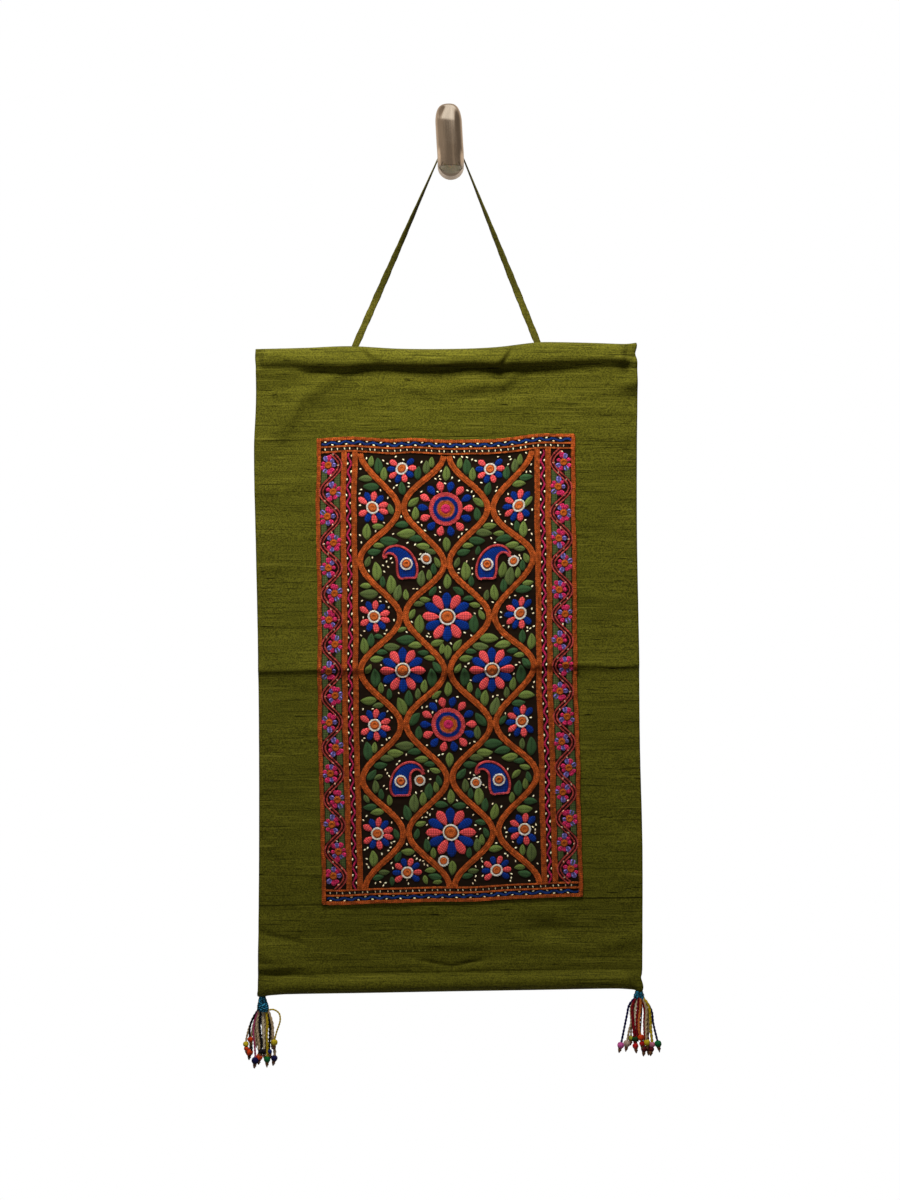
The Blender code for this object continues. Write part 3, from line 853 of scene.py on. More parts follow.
def slab_mesh(columns, thickness):
    """Points and faces of a closed sheet of even thickness about columns of points."""
    middle = np.asarray(columns)
    ahead = np.empty_like(middle)
    ahead[:, 1:-1] = middle[:, 2:] - middle[:, :-2]
    ahead[:, 0] = middle[:, 1] - middle[:, 0]
    ahead[:, -1] = middle[:, -1] - middle[:, -2]
    ahead[..., 0] = 0.0
    ahead /= np.linalg.norm(ahead, axis=-1, keepdims=True)
    side = stacked(np.zeros(middle.shape[:2]), -ahead[..., 2], ahead[..., 1])
    wide, tall = middle.shape[:2]
    shift = side * thickness / 2
    points = np.concatenate([(middle + shift).reshape(-1, 3), (middle - shift).reshape(-1, 3)])
    half = wide * tall
    faces = [grid_faces(wide, tall), grid_faces(wide, tall, half)[:, ::-1]]
    across = np.arange(wide - 1)
    for down, turn in ((0, 1), (tall - 1, -1)):
        near = across * tall + down
        rim = stacked(near, near + tall, near + tall + half, near + half)
        faces.append(rim[:, ::turn])
    below = np.arange(tall - 1)
    for column, turn in ((0, -1), (wide - 1, 1)):
        near = column * tall + below
        rim = stacked(near, near + 1, near + 1 + half, near + half)
        faces.append(rim[:, ::turn])
    return points, np.concatenate(faces)


def rod_z(ends, x):
    left, right = ends
    return left.z + (right.z - left.z) * (x - left.x) / (right.x - left.x)


def pinch(ends, x):
    left, right = ends
    return float(smooth_step(max(left.x - x, x - right.x) / PINCH_LENGTH))


def pocket_swell(x, steps):
    """How the pocket's front swells and sinks along the rod, more where the strap pulls."""
    pull = np.exp(-(((x - STRAP_LEFT.x) / 0.012) ** 2)) + np.exp(-(((x - STRAP_RIGHT.x) / 0.012) ** 2))
    uneven = 0.00025 * sin(x / 0.011) + 0.0002 * sin(x / 0.0053 + 1.0)
    return (uneven - 0.0005 * pull) * np.sin(np.pi * steps)


def ring_line(out, tall, centre_z, swell, droop=0.0):
    angle = -RING_OPEN + (pi + 2 * RING_OPEN) * np.linspace(0.0, 1.0, len(swell))
    reach = (out + swell) * (1 + droop * np.sin(angle) * (np.cos(angle) < 0))
    return stacked(-POCKET_DEPTH + reach * np.cos(angle), centre_z + tall * np.sin(angle))


def hem_line(x, first, last, count):
    heights = np.linspace(first, last, count)
    return stacked(-cloth_depth(x, heights) + HEM_PITCH, heights)


def lofted(rings):
    """Points and faces of a closed form through rings of points, with its first and last ring filled."""
    rings = np.asarray(rings, float)
    count, around = rings.shape[:2]
    low = (np.arange(count - 1) * around)[:, None]
    near = np.arange(around)[None, :]
    far = (near + 1) % around
    corners = np.broadcast_arrays(low + near, low + around + near, low + around + far, low + far)
    faces = np.stack(corners, axis=-1).reshape(-1, 4).tolist()
    faces.append(list(range(around)))
    faces.append(list(range(count * around - 1, (count - 1) * around - 1, -1)))
    return rings.reshape(count * around, -1), faces


def upper_pocket(x):
    """The middle line of the upper hem and pocket, and the height of their seam."""
    closed = pinch(TOP_ROD_ENDS, x)
    sag = float(column_at(POCKET_SAGS, "drop", x))
    upper = float(edge_z(CLOTH_TOP, x)) - CLOTH / 2
    lower = rod_z(TOP_ROD_ENDS, x) - TOP_ROD_RADIUS - POCKET_SLACK - sag
    seam = lower - SEAM_BELOW_RING
    full = TOP_POCKET_OUT + max(0.9 * sag, -0.0004)
    out = full + (PINCHED_OUT - full) * closed
    swell = pocket_swell(x, np.linspace(0.0, 1.0, RING_POINTS)) * (1 - closed)
    swell[: RING_POINTS // 2] = 0.0
    hem = hem_line(x, seam - HEM_LENGTH, seam, HEM_POINTS)
    ring = ring_line(out, (upper - lower) / 2, (upper + lower) / 2, swell, POCKET_DROOP * overhang(x))
    return np.concatenate([hem, ring]), seam


def lower_pocket(x):
    """The middle line of the lower pocket and hem, and the height of their seam."""
    closed = pinch(BOTTOM_ROD_ENDS, x)
    base = float(edge_z(CLOTH_BOTTOM, x)) + CLOTH / 2
    base -= sum(tuck.drop * exp(-(((x - tuck.x) / TUCK_WIDTH) ** 2)) for tuck in TUCKS)
    head = rod_z(BOTTOM_ROD_ENDS, x) + BOTTOM_ROD_RADIUS + POCKET_SLACK
    seam = head + SEAM_BELOW_RING
    out = BOTTOM_POCKET_OUT + (PINCHED_OUT - BOTTOM_POCKET_OUT) * closed
    ring = ring_line(out, (base - head) / 2, (base + head) / 2, np.zeros(RING_POINTS))[::-1]
    return np.concatenate([ring, hem_line(x, seam, seam + HEM_LENGTH, HEM_POINTS)]), seam


def silk_column(across):
    """One column of the silk's middle line, from the upper hem over the rods to the lower hem."""
    x = float(side_x(CLOTH_SIDES, 0.0, across))
    low_x = float(side_x(CLOTH_SIDES, CLOTH_SIDES[-1].drop, across))
    top, seam = upper_pocket(x)
    bottom, low_seam = lower_pocket(low_x)
    even = np.linspace(0.0, 1.0, SHEET_POINTS)
    heights = seam + (low_seam - seam) * (even - ROW_CROWDING * np.sin(2 * tau * even))
    part = smooth_step((seam - heights) / (seam - low_seam))
    column_x = x + (low_x - x) * part
    sheet = stacked(-cloth_depth(column_x, heights), heights)
    line = np.concatenate([top, sheet, bottom])
    drop = float(edge_z(CLOTH_TOP, x)) - line[:, 1]
    place = side_x(CLOTH_SIDES, drop, across)
    for dent in DENTS:
        near = (1 - across if dent.side > 0 else across) * CLOTH_WIDTH / DENT_WIDTH
        place = place - dent.side * dent.inward * np.exp(-((line[:, 1] - dent.z) / dent.tall) ** 2 - near**2)
    front = smooth_step((-POCKET_DEPTH - line[:, 0]) / 0.003) * (line[:, 1] > seam)
    pressed = sum(fold_rise(fold, place, line[:, 1]) for fold in POCKET_FOLDS)
    return stacked(place, line[:, 0] - front * pressed, line[:, 1])


def close_columns(count):
    """Places across the cloth, closer together towards both sides and at the pocket's creases."""
    even = np.linspace(0.0, 1.0, 2001)
    x = side_x(CLOTH_SIDES, 0.0, even)
    crowd = 1 + 0.35 * np.cos(tau * even) + sum(1.3 * np.exp(-(((x - at) / 0.007) ** 2)) for at in CREASED_AT)
    counted = np.cumsum(crowd)
    return np.interp(np.linspace(counted[0], counted[-1], count), counted, even)


def link_mesh(stitches):
    """One chain stitch: a loop of thread, narrow where it starts, that rises at its round end."""
    half = stitches.link_width / 2
    long = stitches.link_length
    thin = stitches.thread / 2
    loop = (
        (0.00, 0.00, 0.0), (0.38, 0.72, 0.2), (0.80, 0.92, 0.7),
        (1.00, 0.00, 1.0), (0.80, -0.92, 0.7), (0.38, -0.72, 0.2),
    )
    centre = np.array([(part * long, side * half, thin * (0.4 + rise)) for part, side, rise in loop])
    middle = np.array([0.55 * long, 0.0, 0.0])
    points = []
    for place in centre:
        outward = place - middle
        outward[2] = 0.0
        outward /= np.linalg.norm(outward)
        for angle in (90, 210, 330):
            turn = radians(angle)
            points.append(place + thin * (outward * cos(turn) + np.array([0, 0, 1.0]) * sin(turn)))
    faces = []
    for index in range(6):
        for side in range(3):
            after = (index + 1) % 6
            near = (index * 3 + side, index * 3 + (side + 1) % 3)
            far = (after * 3 + side, after * 3 + (side + 1) % 3)
            faces.append((near[0], far[0], far[1], near[1]))
    return points, faces


def knot_mesh(length, width):
    """A small wound knot: a low oval bead that rises along -Y."""
    points = [(0.0, -0.52 * width, 0.0)]
    rings = ((0.55, 0.45), (0.95, 0.25), (1.0, 0.0))
    sides = 8
    for spread, rise in rings:
        for index in range(sides):
            angle = tau * index / sides
            points.append((spread * length / 2 * cos(angle), -rise * width, spread * width / 2 * sin(angle)))
    faces = [(0, 1 + index, 1 + (index + 1) % sides) for index in range(sides)]
    for near in (1, 1 + sides):
        for index in range(sides):
            after = (index + 1) % sides
            faces.append((near + index, near + sides + index, near + sides + after, near + after))
    faces.append(tuple(range(3 * sides, 2 * sides, -1)))
    return points, faces


def new_tree(name, sockets):
    """A geometry tree with named inputs, and its group input and output nodes."""
    tree = bpy.data.node_groups.new(name, "GeometryNodeTree")
    tree.interface.new_socket("Geometry", in_out="INPUT", socket_type="NodeSocketGeometry")
    for label, kind, value in sockets:
        made = tree.interface.new_socket(label, in_out="INPUT", socket_type=kind)
        if value is not None:
            made.default_value = value
    tree.interface.new_socket("Geometry", in_out="OUTPUT", socket_type="NodeSocketGeometry")
    return tree, add_node(tree, "NodeGroupInput").outputs, add_node(tree, "NodeGroupOutput")


def chance(tree, low, high, seed):
    """A random value for each stitch."""
    inputs = {2: low, 3: high, "Seed": seed}
    return add_node(tree, "FunctionNodeRandomValue", inputs, data_type="FLOAT").outputs[1]


def stitch_tree(name, along_rows):
    """Stitches along every path of edges, or one at each point, turned by the point's own turn."""
    tree, given, last = new_tree(name, (
        ("Stitch", "NodeSocketObject", None),
        ("Size", "NodeSocketFloat", 1.0),
        ("Pitch", "NodeSocketFloat", 0.0016),
        ("Uneven", "NodeSocketFloat", 0.1),
        ("Seed", "NodeSocketInt", 1),
        ("Thread", "NodeSocketMaterial", None),
    ))
    if along_rows:
        curve = add_node(tree, "GeometryNodeMeshToCurve", {0: given["Geometry"]})
        inputs = {"Curve": curve.outputs[0], "Length": given["Pitch"]}
        places = add_node(tree, "GeometryNodeResampleCurve", inputs, mode="LENGTH")
        run = add_node(tree, "GeometryNodeInputTangent")
        ahead = add_node(tree, "FunctionNodeAlignRotationToVector", {"Vector": run.outputs[0]}, axis="X")
        inputs = {"Rotation": ahead.outputs[0], "Vector": (0.0, -1.0, 0.0)}
        facing = add_node(tree, "FunctionNodeAlignRotationToVector", inputs, axis="Z", pivot_axis="X")
    else:
        places = add_node(tree, "GeometryNodeMeshToPoints", {0: given["Geometry"]})
        turn = add_node(tree, "GeometryNodeInputNamedAttribute", {"Name": "turn"}, data_type="FLOAT")
        facing = add_node(tree, "ShaderNodeCombineXYZ", {1: turn.outputs[0]})
    smallest = minus(given["Size"], given["Uneven"])
    largest = plus(given["Size"], given["Uneven"])
    copies = add_node(tree, "GeometryNodeInstanceOnPoints", {
        "Points": places.outputs[0],
        "Instance": add_node(tree, "GeometryNodeObjectInfo", {"Object": given["Stitch"]}).outputs["Geometry"],
        "Rotation": facing.outputs[0],
        "Scale": chance(tree, smallest, largest, given["Seed"]),
    })
    tint = chance(tree, 0.15, 1.0, given["Seed"])
    inputs = {"Geometry": copies.outputs[0], "Name": "tint", "Value": tint}
    kept = add_node(tree, "GeometryNodeStoreNamedAttribute", inputs, domain="INSTANCE", data_type="FLOAT")
    real = add_node(tree, "GeometryNodeRealizeInstances", {0: kept.outputs[0]})
    inputs = {"Geometry": real.outputs[0], "Material": given["Thread"]}
    tree.links.new(add_node(tree, "GeometryNodeSetMaterial", inputs).outputs[0], last.inputs[0])
    return tree


def grown(name, source, tree, values):
    """Runs a tree on a mesh and returns its result as a plain object."""
    maker = add_object(name + "_source", source)
    modifier = maker.modifiers.new("grow", "NODES")
    modifier.node_group = tree
    for item in tree.interface.items_tree:
        if item.item_type == "SOCKET" and item.in_out == "INPUT" and item.name in values:
            modifier[item.identifier] = values[item.name]
    graph = bpy.context.evaluated_depsgraph_get()
    mesh = bpy.data.meshes.new_from_object(maker.evaluated_get(graph), depsgraph=graph)
    mesh.name = name
    maker.modifiers.remove(modifier)
    bpy.data.objects.remove(maker)
    mesh.shade_smooth()
    return add_object(name, mesh)


def helper_object(name, shape):
    points, faces = shape
    return add_object(name, new_mesh(name, points, [], faces))


# How large the chain stitches of finer rows are
ROW_SIZES = {"vine": 0.68, "vine_dark": 0.6, "wave": 0.62, "crimson": 0.9, "cream": 0.9, "rust": 0.9}
# How light the darkest places of some threads are
LOWS = {"cream": 0.85, "knots": 0.85, "crimson": 0.45, "vine": 0.5}
# How much brighter some threads of the field are than the same threads in the borders
FIELD_LIFTS = {"rust": 1.2, "coral": 1.2}
ROUND_CROWN = (0.0, 0.58, 0.96, 0.74, 0.96, 0.58, 0.0)
LOOP_CROWN = (0.0, 0.80, 1.0, 0.10, 1.0, 0.80, 0.0)
# How light the thread is across a pad, from 0 to 1: painted shade darkens both edges, and inside a loop the
# middle as well
EDGE_SHADED_TINT = (0.45, 0.92, 1.0, 0.82, 1.0, 0.92, 0.45)
LOOP_SHADED_TINT = (0.9, 1.0, 1.0, -0.25, 1.0, 1.0, 0.9)
PAD_SPREAD = np.array((-1.0, -0.87, -0.5, 0.0, 0.5, 0.87, 1.0))
# A disc's rings, in parts of its radius, and how high it stands at each
DISC_RINGS = np.array((1.0, 0.9, 0.62, 0.34, 0.1))
DISC_CROWN = np.array((0.0, 0.7, 1.0, 0.85, 0.35))
# Rows of stitches on a pad, for each metre across it
ROWS_EACH_METRE = 760
# The vine's lines: thread, distance from the vine's middle, and height
VINE_LINES = (("vine", -0.0012, 0.0011), ("vine", 0.0012, 0.0011), ("vine_dark", 0.0, 0.0004))


class Needlework:
    """Collects the pads, rows and single stitches of one part of the embroidery, by thread."""

    def __init__(self, stitches, limits=None):
        self.stitches = stitches
        self.limits = limits
        self.random = np.random.default_rng(stitches.seed)
        self.pads = {}
        self.rows = {}
        self.singles = {}
        self.taken = []

    def take(self, places, radius):
        """Marks round patches of the cloth as covered."""
        for place in np.atleast_2d(places):
            self.taken.append((place[0], place[1], radius))

    def fits(self, places, radii, space):
        """Whether the given patches lie inside the field and clear of all that is covered."""
        places = np.atleast_2d(places)
        radii = np.asarray(radii, float)
        across, top, bottom = self.limits
        if (np.abs(places[:, 0]) + radii > across).any():
            return False
        if (places[:, 1] - radii < top).any() or (places[:, 1] + radii > bottom).any():
            return False
        taken = np.array(self.taken)
        apart = np.hypot(places[:, None, 0] - taken[None, :, 0], places[:, None, 1] - taken[None, :, 1])
        return float((apart - taken[None, :, 2] - radii[:, None]).min()) > space

    def add_pad(self, thread, places, rises, faces, rows, tint=1.0):
        """Adds a raised pad: places on the panel, heights over it, faces, stitch rows and lightness, which
        holds painted shade as well as random tone.
        """
        tint = np.broadcast_to(tint, (len(places),)) * (0.62 + 0.38 * self.random.random())
        points = on_panel(places[:, 0], places[:, 1], rises)
        self.pads.setdefault(thread, []).append((points, faces, rows, tint))

    def add_row(self, thread, places, rise, closed=False):
        self.rows.setdefault(thread, []).append((on_panel(places[:, 0], places[:, 1], rise), closed))

    def add_single(self, place, turn, kind="knot"):
        self.singles.setdefault(kind, []).append((place[0], place[1], turn))
        self.take([place], 0.0011)


def sides_of(path, closed=False):
    """Unit vectors across a path, to its left as it runs."""
    ahead = np.roll(path, -1, axis=0) - np.roll(path, 1, axis=0) if closed else np.gradient(path, axis=0)
    ahead /= np.linalg.norm(ahead, axis=1, keepdims=True)
    return stacked(-ahead[:, 1], ahead[:, 0])


def cushion(work, thread, path, spread, rises, closed=False, tint=1.0):
    """A raised strip: for each place on a path, offsets across it and heights."""
    wide = spread.shape[1]
    places = path[:, None, :] + sides_of(path, closed)[:, None, :] * spread[..., None]
    along = np.broadcast_to(steps_along(path)[:, None], spread.shape)
    rows = stacked(along, spread) * ROWS_EACH_METRE + (0.0, 0.5)
    near = np.arange(len(path) if closed else len(path) - 1) * wide
    far = (near + wide) % (len(path) * wide)
    under = stacked(near, far, far + wide - 1, near + wide - 1)
    faces = np.concatenate([grid_faces(len(path), wide, around=closed)[:, ::-1], under])
    tint = np.broadcast_to(tint, spread.shape).ravel()
    work.add_pad(thread, places.reshape(-1, 2), (rises - 0.0001).ravel(), faces, rows.reshape(-1, 2), tint)


def strip_pad(work, thread, spine, halves, rise, crown=ROUND_CROWN):
    """A padded shape about a spine, with its half width at each place; its ends come to points."""
    full = np.clip(halves / (halves.max() * 0.6), 0.0, 1.0)[:, None] ** 0.7
    # Painted shade at the pad's edges and in a loop's middle.
    tint = LOOP_SHADED_TINT if crown is LOOP_CROWN else EDGE_SHADED_TINT
    cushion(work, thread, spine, halves[:, None] * PAD_SPREAD, rise * np.array(crown) * full, tint=tint)


def leaf(
    work, thread, base, turn, length, width, rise=None, crown=ROUND_CROWN, full=0.75, early=0.85, bend=0.0,
):
    """An almond leaf or petal from its base, pointing along turn; full and early shape its outline."""
    part = np.linspace(0.0, 1.0, 8 if length < 0.007 else 11)
    run = np.array([cos(turn), sin(turn)])
    bow = bend * length * np.sin(pi * part)
    spine = np.asarray(base) + run * (part * length)[:, None] + np.array([-run[1], run[0]]) * bow[:, None]
    halves = width / 2 * np.sin(pi * part**early) ** full
    halves[[0, -1]] = width * 0.03
    strip_pad(work, thread, spine, halves, work.stitches.pad_rise if rise is None else rise, crown)
    middle = len(part) // 2
    for index in (middle // 2, middle, middle + middle // 2):
        work.take([spine[index]], halves[index])


def petal(work, thread, base, turn, length, width, rise=None, crown=ROUND_CROWN):
    """A petal that is narrow at its base and round at its tip."""
    leaf(work, thread, base, turn, length, width, rise, crown, full=0.6, early=1.3)


def petal_ring(work, centre, count, inner, length, width, offset=0.0):
    """Petals round a middle, coral and cobalt in turn, where they fit the field."""
    for index in range(count):
        turn = tau * (index + offset) / count
        run = np.array([cos(turn), sin(turn)])
        base = np.asarray(centre) + run * inner
        tip = base + run * length
        if abs(tip[0]) < work.limits[0] and work.limits[1] < tip[1] < work.limits[2]:
            petal(work, PETALS[index % len(PETALS)], base, turn, length, width)


def disc(work, thread, centre, radius, rise, sides=16):
    """A round pad with a dimple at its middle, in rings of stitches."""
    reaches = radius * DISC_RINGS
    places, faces = lofted([circle(centre, reach, sides) for reach in reaches])
    heights = rise * DISC_CROWN
    heights[0] -= 0.0001
    angle = np.arange(sides) * tau / sides
    rows = stacked(*np.broadcast_arrays(angle * radius, reaches[:, None])) * ROWS_EACH_METRE
    work.add_pad(thread, places, np.repeat(heights, sides), faces, rows.reshape(-1, 2))
    work.take([centre], radius)


def band(work, thread, path, width, rows, rise, closed=False, core=True):
    """A stitched bar or stem: rows of chain stitch side by side over a low rounded core."""
    if core:
        shape = (len(path), 5)
        spread = np.broadcast_to(width * np.array((-0.46, -0.38, 0.0, 0.38, 0.46)), shape)
        rises = np.broadcast_to(rise * np.array((0.0, 0.5, 0.75, 0.5, 0.0)), shape)
        # Painted shade between the rows: except for cream, the core under the rows gets a low tint of 0.15.
        cushion(work, thread, path, spread, rises, closed, 1.0 if thread == "cream" else 0.15)
    wide = work.stitches.link_width * ROW_SIZES.get(thread, 1.0)
    for row in range(rows):
        offset = (row / (rows - 1) - 0.5) * max(width - wide, 0.0) if rows > 1 else 0.0
        height = rise * (0.5 if rows > 1 and row in (0, rows - 1) else 0.85)
        work.add_row(thread, path + sides_of(path, closed) * offset, height, closed)


def line(start, end, count):
    return stacked(np.linspace(start[0], end[0], count), np.linspace(start[1], end[1], count))


def circle(centre, radius, count):
    angle = np.arange(count) * tau / count
    return stacked(centre[0] + radius * np.cos(angle), centre[1] + radius * np.sin(angle))


def ringed_disc(work, centre, radius):
    """A rust disc inside a raised cream ring."""
    disc(work, "rust", centre, radius * 0.74, work.stitches.pad_rise)
    band(work, "cream", circle(centre, radius * 0.88, 28), 0.0016, 1, 0.0011, closed=True)
    work.take([centre], radius)


def edge_bars(work):
    """The rust bars along the panel's edges and between its strips."""
    reach = HALF - EDGE_BAR
    overrun = work.stitches.link_length * 0.9
    for side in (-1, 1):
        for inward, width, top, rise in (
            (EDGE_BAR / 2, EDGE_BAR, 0.0002, 0.0007),
            (EDGE_BAR + FLOWER_STRIP + INNER_BAR / 2, INNER_BAR, FIELD_TOP, 0.0009),
            (SIDE_BORDER - INNER_BAR / 2, INNER_BAR, FIELD_TOP, 0.0009),
        ):
            across = side * (HALF - inward)
            path = line((across, top), (across, PANEL_HEIGHT - top - overrun), 130)
            band(work, "rust", path, width, 3, rise)
    for depth, width, rows in (
        (END_BAR / 2, END_BAR, 2),
        (END_BAR + WAVE_STRIP + THIN_BAR / 2, THIN_BAR, 1),
        (END_BORDER - THIN_BAR / 2, THIN_BAR, 1),
    ):
        for down in (depth, PANEL_HEIGHT - depth):
            band(work, "rust", line((-reach, down), (reach, down), 80), width, rows, 0.0007)


def wave_strips(work):
    """The blue wave and the row of slanted cream dashes along the upper and lower edges."""
    reach = HALF - EDGE_BAR - 0.001
    across = np.linspace(-reach, reach, 190)
    middle = END_BAR + WAVE_STRIP / 2
    dash = END_BAR + WAVE_STRIP + THIN_BAR + DASH_STRIP / 2
    swing = 0.0008 * np.sin(across * tau / WAVE_PERIOD)
    for end in (0, 1):
        def down(depth):
            return PANEL_HEIGHT - depth if end else depth

        band(work, "wave", stacked(across, down(middle + swing)), 0.0015, 2, 0.0008)
        for index in range(int(4 * reach / WAVE_PERIOD)):
            place = -reach + (index + 0.5) * WAVE_PERIOD / 2
            lobe = 1 if sin(place * tau / WAVE_PERIOD) > 0 else -1
            work.add_single((place, down(middle - lobe * 0.0012)), 0.4 * sin(index * 2.1))
        for index in range(int(2 * reach / DASH_PITCH)):
            place = -reach + (index + 0.5 + 0.12 * sin(index * 2.9)) * DASH_PITCH
            work.add_single((place, down(dash)), radians(80) + 0.25 * sin(index * 1.7), "dash")
            for share in (0.3, 0.5, 0.7):
                work.add_single((place + share * DASH_PITCH, down(dash)), radians(50), "slant")


def zigzag_strips(work):
    """The crimson zigzag with cream knots in its bends."""
    for side in (-1, 1):
        middle = side * (HALF - EDGE_BAR - FLOWER_STRIP - INNER_BAR - ZIGZAG_STRIP / 2)
        down = np.linspace(FIELD_TOP + 0.001, FIELD_BOTTOM - 0.001, 330)
        phase = (down - FIELD_TOP) / ZIGZAG_PERIOD
        swing = 0.0015 * np.arcsin(0.98 * np.sin(tau * phase)) / (pi / 2)
        band(work, "crimson", stacked(middle + side * swing, down), 0.0011, 1, 0.0008)
        for index in range(int(2 * (FIELD_BOTTOM - FIELD_TOP) / ZIGZAG_PERIOD)):
            lobe = 1 if index % 2 else -1
            place = (middle + side * lobe * 0.0015, FIELD_TOP + (index + 0.5) * ZIGZAG_PERIOD / 2)
            work.add_single(place, radians(90) + 0.3 * sin(index))


def border_flower(work, centre, order):
    """A small flower of looped petals, crimson with a few in lavender, about an amber middle."""
    count = 8 if order % 3 else 9
    for index in range(count):
        uneven = sin(order * 3.1 + index * 2.3)
        turn = tau * (index + 0.5 * (order % 2) + 0.16 * uneven) / count
        run = np.array([0.86 * cos(turn), 1.06 * sin(turn)])
        reach = 0.0024 + 0.0003 * uneven
        thread, crown = ("crimson", ROUND_CROWN) if (3 * index + order) % 8 > 2 else ("lavender", LOOP_CROWN)
        size = (0.0051 + 0.0006 * sin(order * 1.3 + index * 3.7)) * np.linalg.norm(run)
        base = np.asarray(centre) + run * reach
        petal(work, thread, base, atan2(run[1], run[0]), size, size * 0.82, 0.0011, crown)
    disc(work, "amber", centre, 0.0032, 0.0015, sides=12)


def corner_filler(work, edge, vine, down, inward):
    """Green stitching between a strip's edge and the vine, where there is room for it."""
    wide = np.clip((vine - edge) * inward - 0.0032, 0.0002, 0.0046)
    path = stacked(np.full(len(down), edge + 0.0006 * inward), down)
    spread = -inward * wide[:, None] * np.linspace(0.0, 1.0, 7)
    rises = 0.0006 * np.clip(wide / 0.0016, 0.0, 1.0)[:, None] * np.array((0.0, 0.8, 1.0, 1.0, 1.0, 0.8, 0.0))
    if inward > 0:
        spread, rises = spread[:, ::-1], rises[:, ::-1]
    cushion(work, "mid_leaf", path, spread, rises, tint=0.75)


def flower_strips(work):
    """The winding vine of two lines, with a flower in each bend and green between."""
    count = int(round((FIELD_BOTTOM - FIELD_TOP) / FLOWER_PITCH))
    step = (FIELD_BOTTOM - FIELD_TOP) / count
    down = np.linspace(FIELD_TOP + 0.0003, FIELD_BOTTOM - 0.0003, 360)
    swing = VINE_SWING * np.sin(pi * (down - FIELD_TOP) / step)
    for side in (-1, 1):
        middle = side * (HALF - EDGE_BAR - FLOWER_STRIP / 2)
        path = stacked(middle - side * swing, down)
        for thread, shift, rise in VINE_LINES:
            band(work, thread, path + sides_of(path) * shift, 0.0009, 1, rise, core=False)
        for index in range(count):
            lobe = 1 if index % 2 == 0 else -1
            uneven = sin(index * 2.7 + side)
            centre = (middle + side * lobe * 0.0023, FIELD_TOP + (index + 0.5) * step + 0.0005 * uneven)
            border_flower(work, centre, index + (7 if side > 0 else 0))
            for turn in ((2.3, 3.9) if index % 3 else (2.0, 3.1, 4.4)):
                out = np.array([side * lobe * cos(turn + 0.2 * uneven), sin(turn)])
                work.add_single(np.asarray(centre) + out * (0.0080, 0.0088), turn + index)
            crossing = FIELD_TOP + index * step
            for outer in (-1, 1) if index else ():
                first, last = (0.0022, 0.0085) if outer == lobe else (0.0085, 0.0022)
                near = down[(down > crossing - first - 0.002) & (down < crossing + last + 0.002)]
                edge = middle + side * outer * FLOWER_STRIP / 2
                vine = np.interp(near, path[:, 1], path[:, 0])
                corner_filler(work, edge, vine, near, -side * outer)


def make_pads(name, found, surface):
    faces = []
    start = 0
    for pad_points, pad_faces, _, _ in found:
        faces += [[corner + start for corner in face] for face in pad_faces]
        start += len(pad_points)
    points, _, rows, tints = zip(*found)
    made = add_mesh(
        name, np.concatenate(points), faces, surface, np.concatenate(rows), np.concatenate(tints),
    )
    keep(made, "embroidered_cloth")


def make_needlework(work, name, threads, shapes):
    """Makes the collected pads, rows and single stitches into pieces, one for each thread."""
    def finish(thread, kind, **more):
        lift = FIELD_LIFTS.get(thread, 1.0) if name == "field" else 1.0
        colour = shaded(getattr(threads, thread), lift)[:3]
        return thread_finish(f"{thread} {kind} {name}", colour, **more)

    chain = stitch_tree("chain_rows", True)
    scatter = stitch_tree("single_stitches", False)
    for thread, found in sorted(work.pads.items()):
        fishbone = name == "field" and thread.endswith("leaf")
        make_pads(f"{name}_{thread}_pads", found, finish(thread, "pads", fishbone=fishbone))
    for thread, found in sorted(work.rows.items()):
        points, edges = [], []
        for places, closed in found:
            start = len(points)
            points += list(places)
            edges += [(start + index, start + index + 1) for index in range(len(places) - 1)]
            edges += [(start + len(places) - 1, start)] if closed else []
        mesh = new_mesh(thread, points, edges, [])
        size = ROW_SIZES.get(thread, 1.0)
        keep(grown(f"{name}_{thread}_chain", mesh, chain, {
            "Stitch": shapes["link"],
            "Size": size,
            "Pitch": work.stitches.link_pitch * size,
            "Seed": work.stitches.seed,
            "Thread": finish(thread, "rows", rows=False, low=LOWS.get(thread, 0.28)),
        }), "embroidered_cloth")
    for kind, found in sorted(work.singles.items()):
        thread = "black" if kind == "slant" else "knots"
        surface = finish(thread, kind + "s", rows=False, low=LOWS.get(thread, 0.28))
        across, down, turns = np.array(found).T
        mesh = new_mesh(kind, on_panel(across, down, 0.0), [], [])
        mesh.attributes.new("turn", "FLOAT", "POINT").data.foreach_set("value", turns.astype(np.float32))
        values = {"Stitch": shapes[kind], "Seed": work.stitches.seed + 3, "Thread": surface}
        keep(grown(f"{name}_{thread}_{kind}s", mesh, scatter, values), "embroidered_cloth")


CELL_HEIGHT = (FIELD_BOTTOM - FIELD_TOP) / 4
CELL_HALF = FIELD_HALF / 2
GREENS = ("light_leaf", "dark_leaf", "light_leaf", "mid_leaf", "dark_leaf")
PETALS = ("coral", "cobalt")
# Petals of the trellis's flowers: how many, how far from the middle, how long and wide, and how far turned
FLOWERS = {
    "middle": (12, 0.0062, 0.0136, 0.0078),
    "side": (11, 0.0044, 0.0086, 0.0052, 0.5),
    "crossing": (12, 0.0056, 0.0124, 0.0070),
    "end": (10, 0.0042, 0.0076, 0.0050),
}
ROUND_FLOWER = 0.0132
PAISLEY_LENGTH = 0.038
WREATH = 10
STEM_STEPS = 400
LEAF_STEP = 7


def trellis_line(column, side, count=150):
    """A wavy stem of the trellis: the inner or the outer one, on one side of the middle."""
    down = np.linspace(FIELD_TOP + 0.001, FIELD_BOTTOM - 0.001, count)
    wave = np.cos((down - FIELD_TOP - CELL_HEIGHT / 2) * tau / CELL_HEIGHT)
    swing = (CELL_HALF / 2 - 0.0022) * (-1 if column else 1)
    return stacked(side * (CELL_HALF * (0.5 + column) + swing * wave), down)


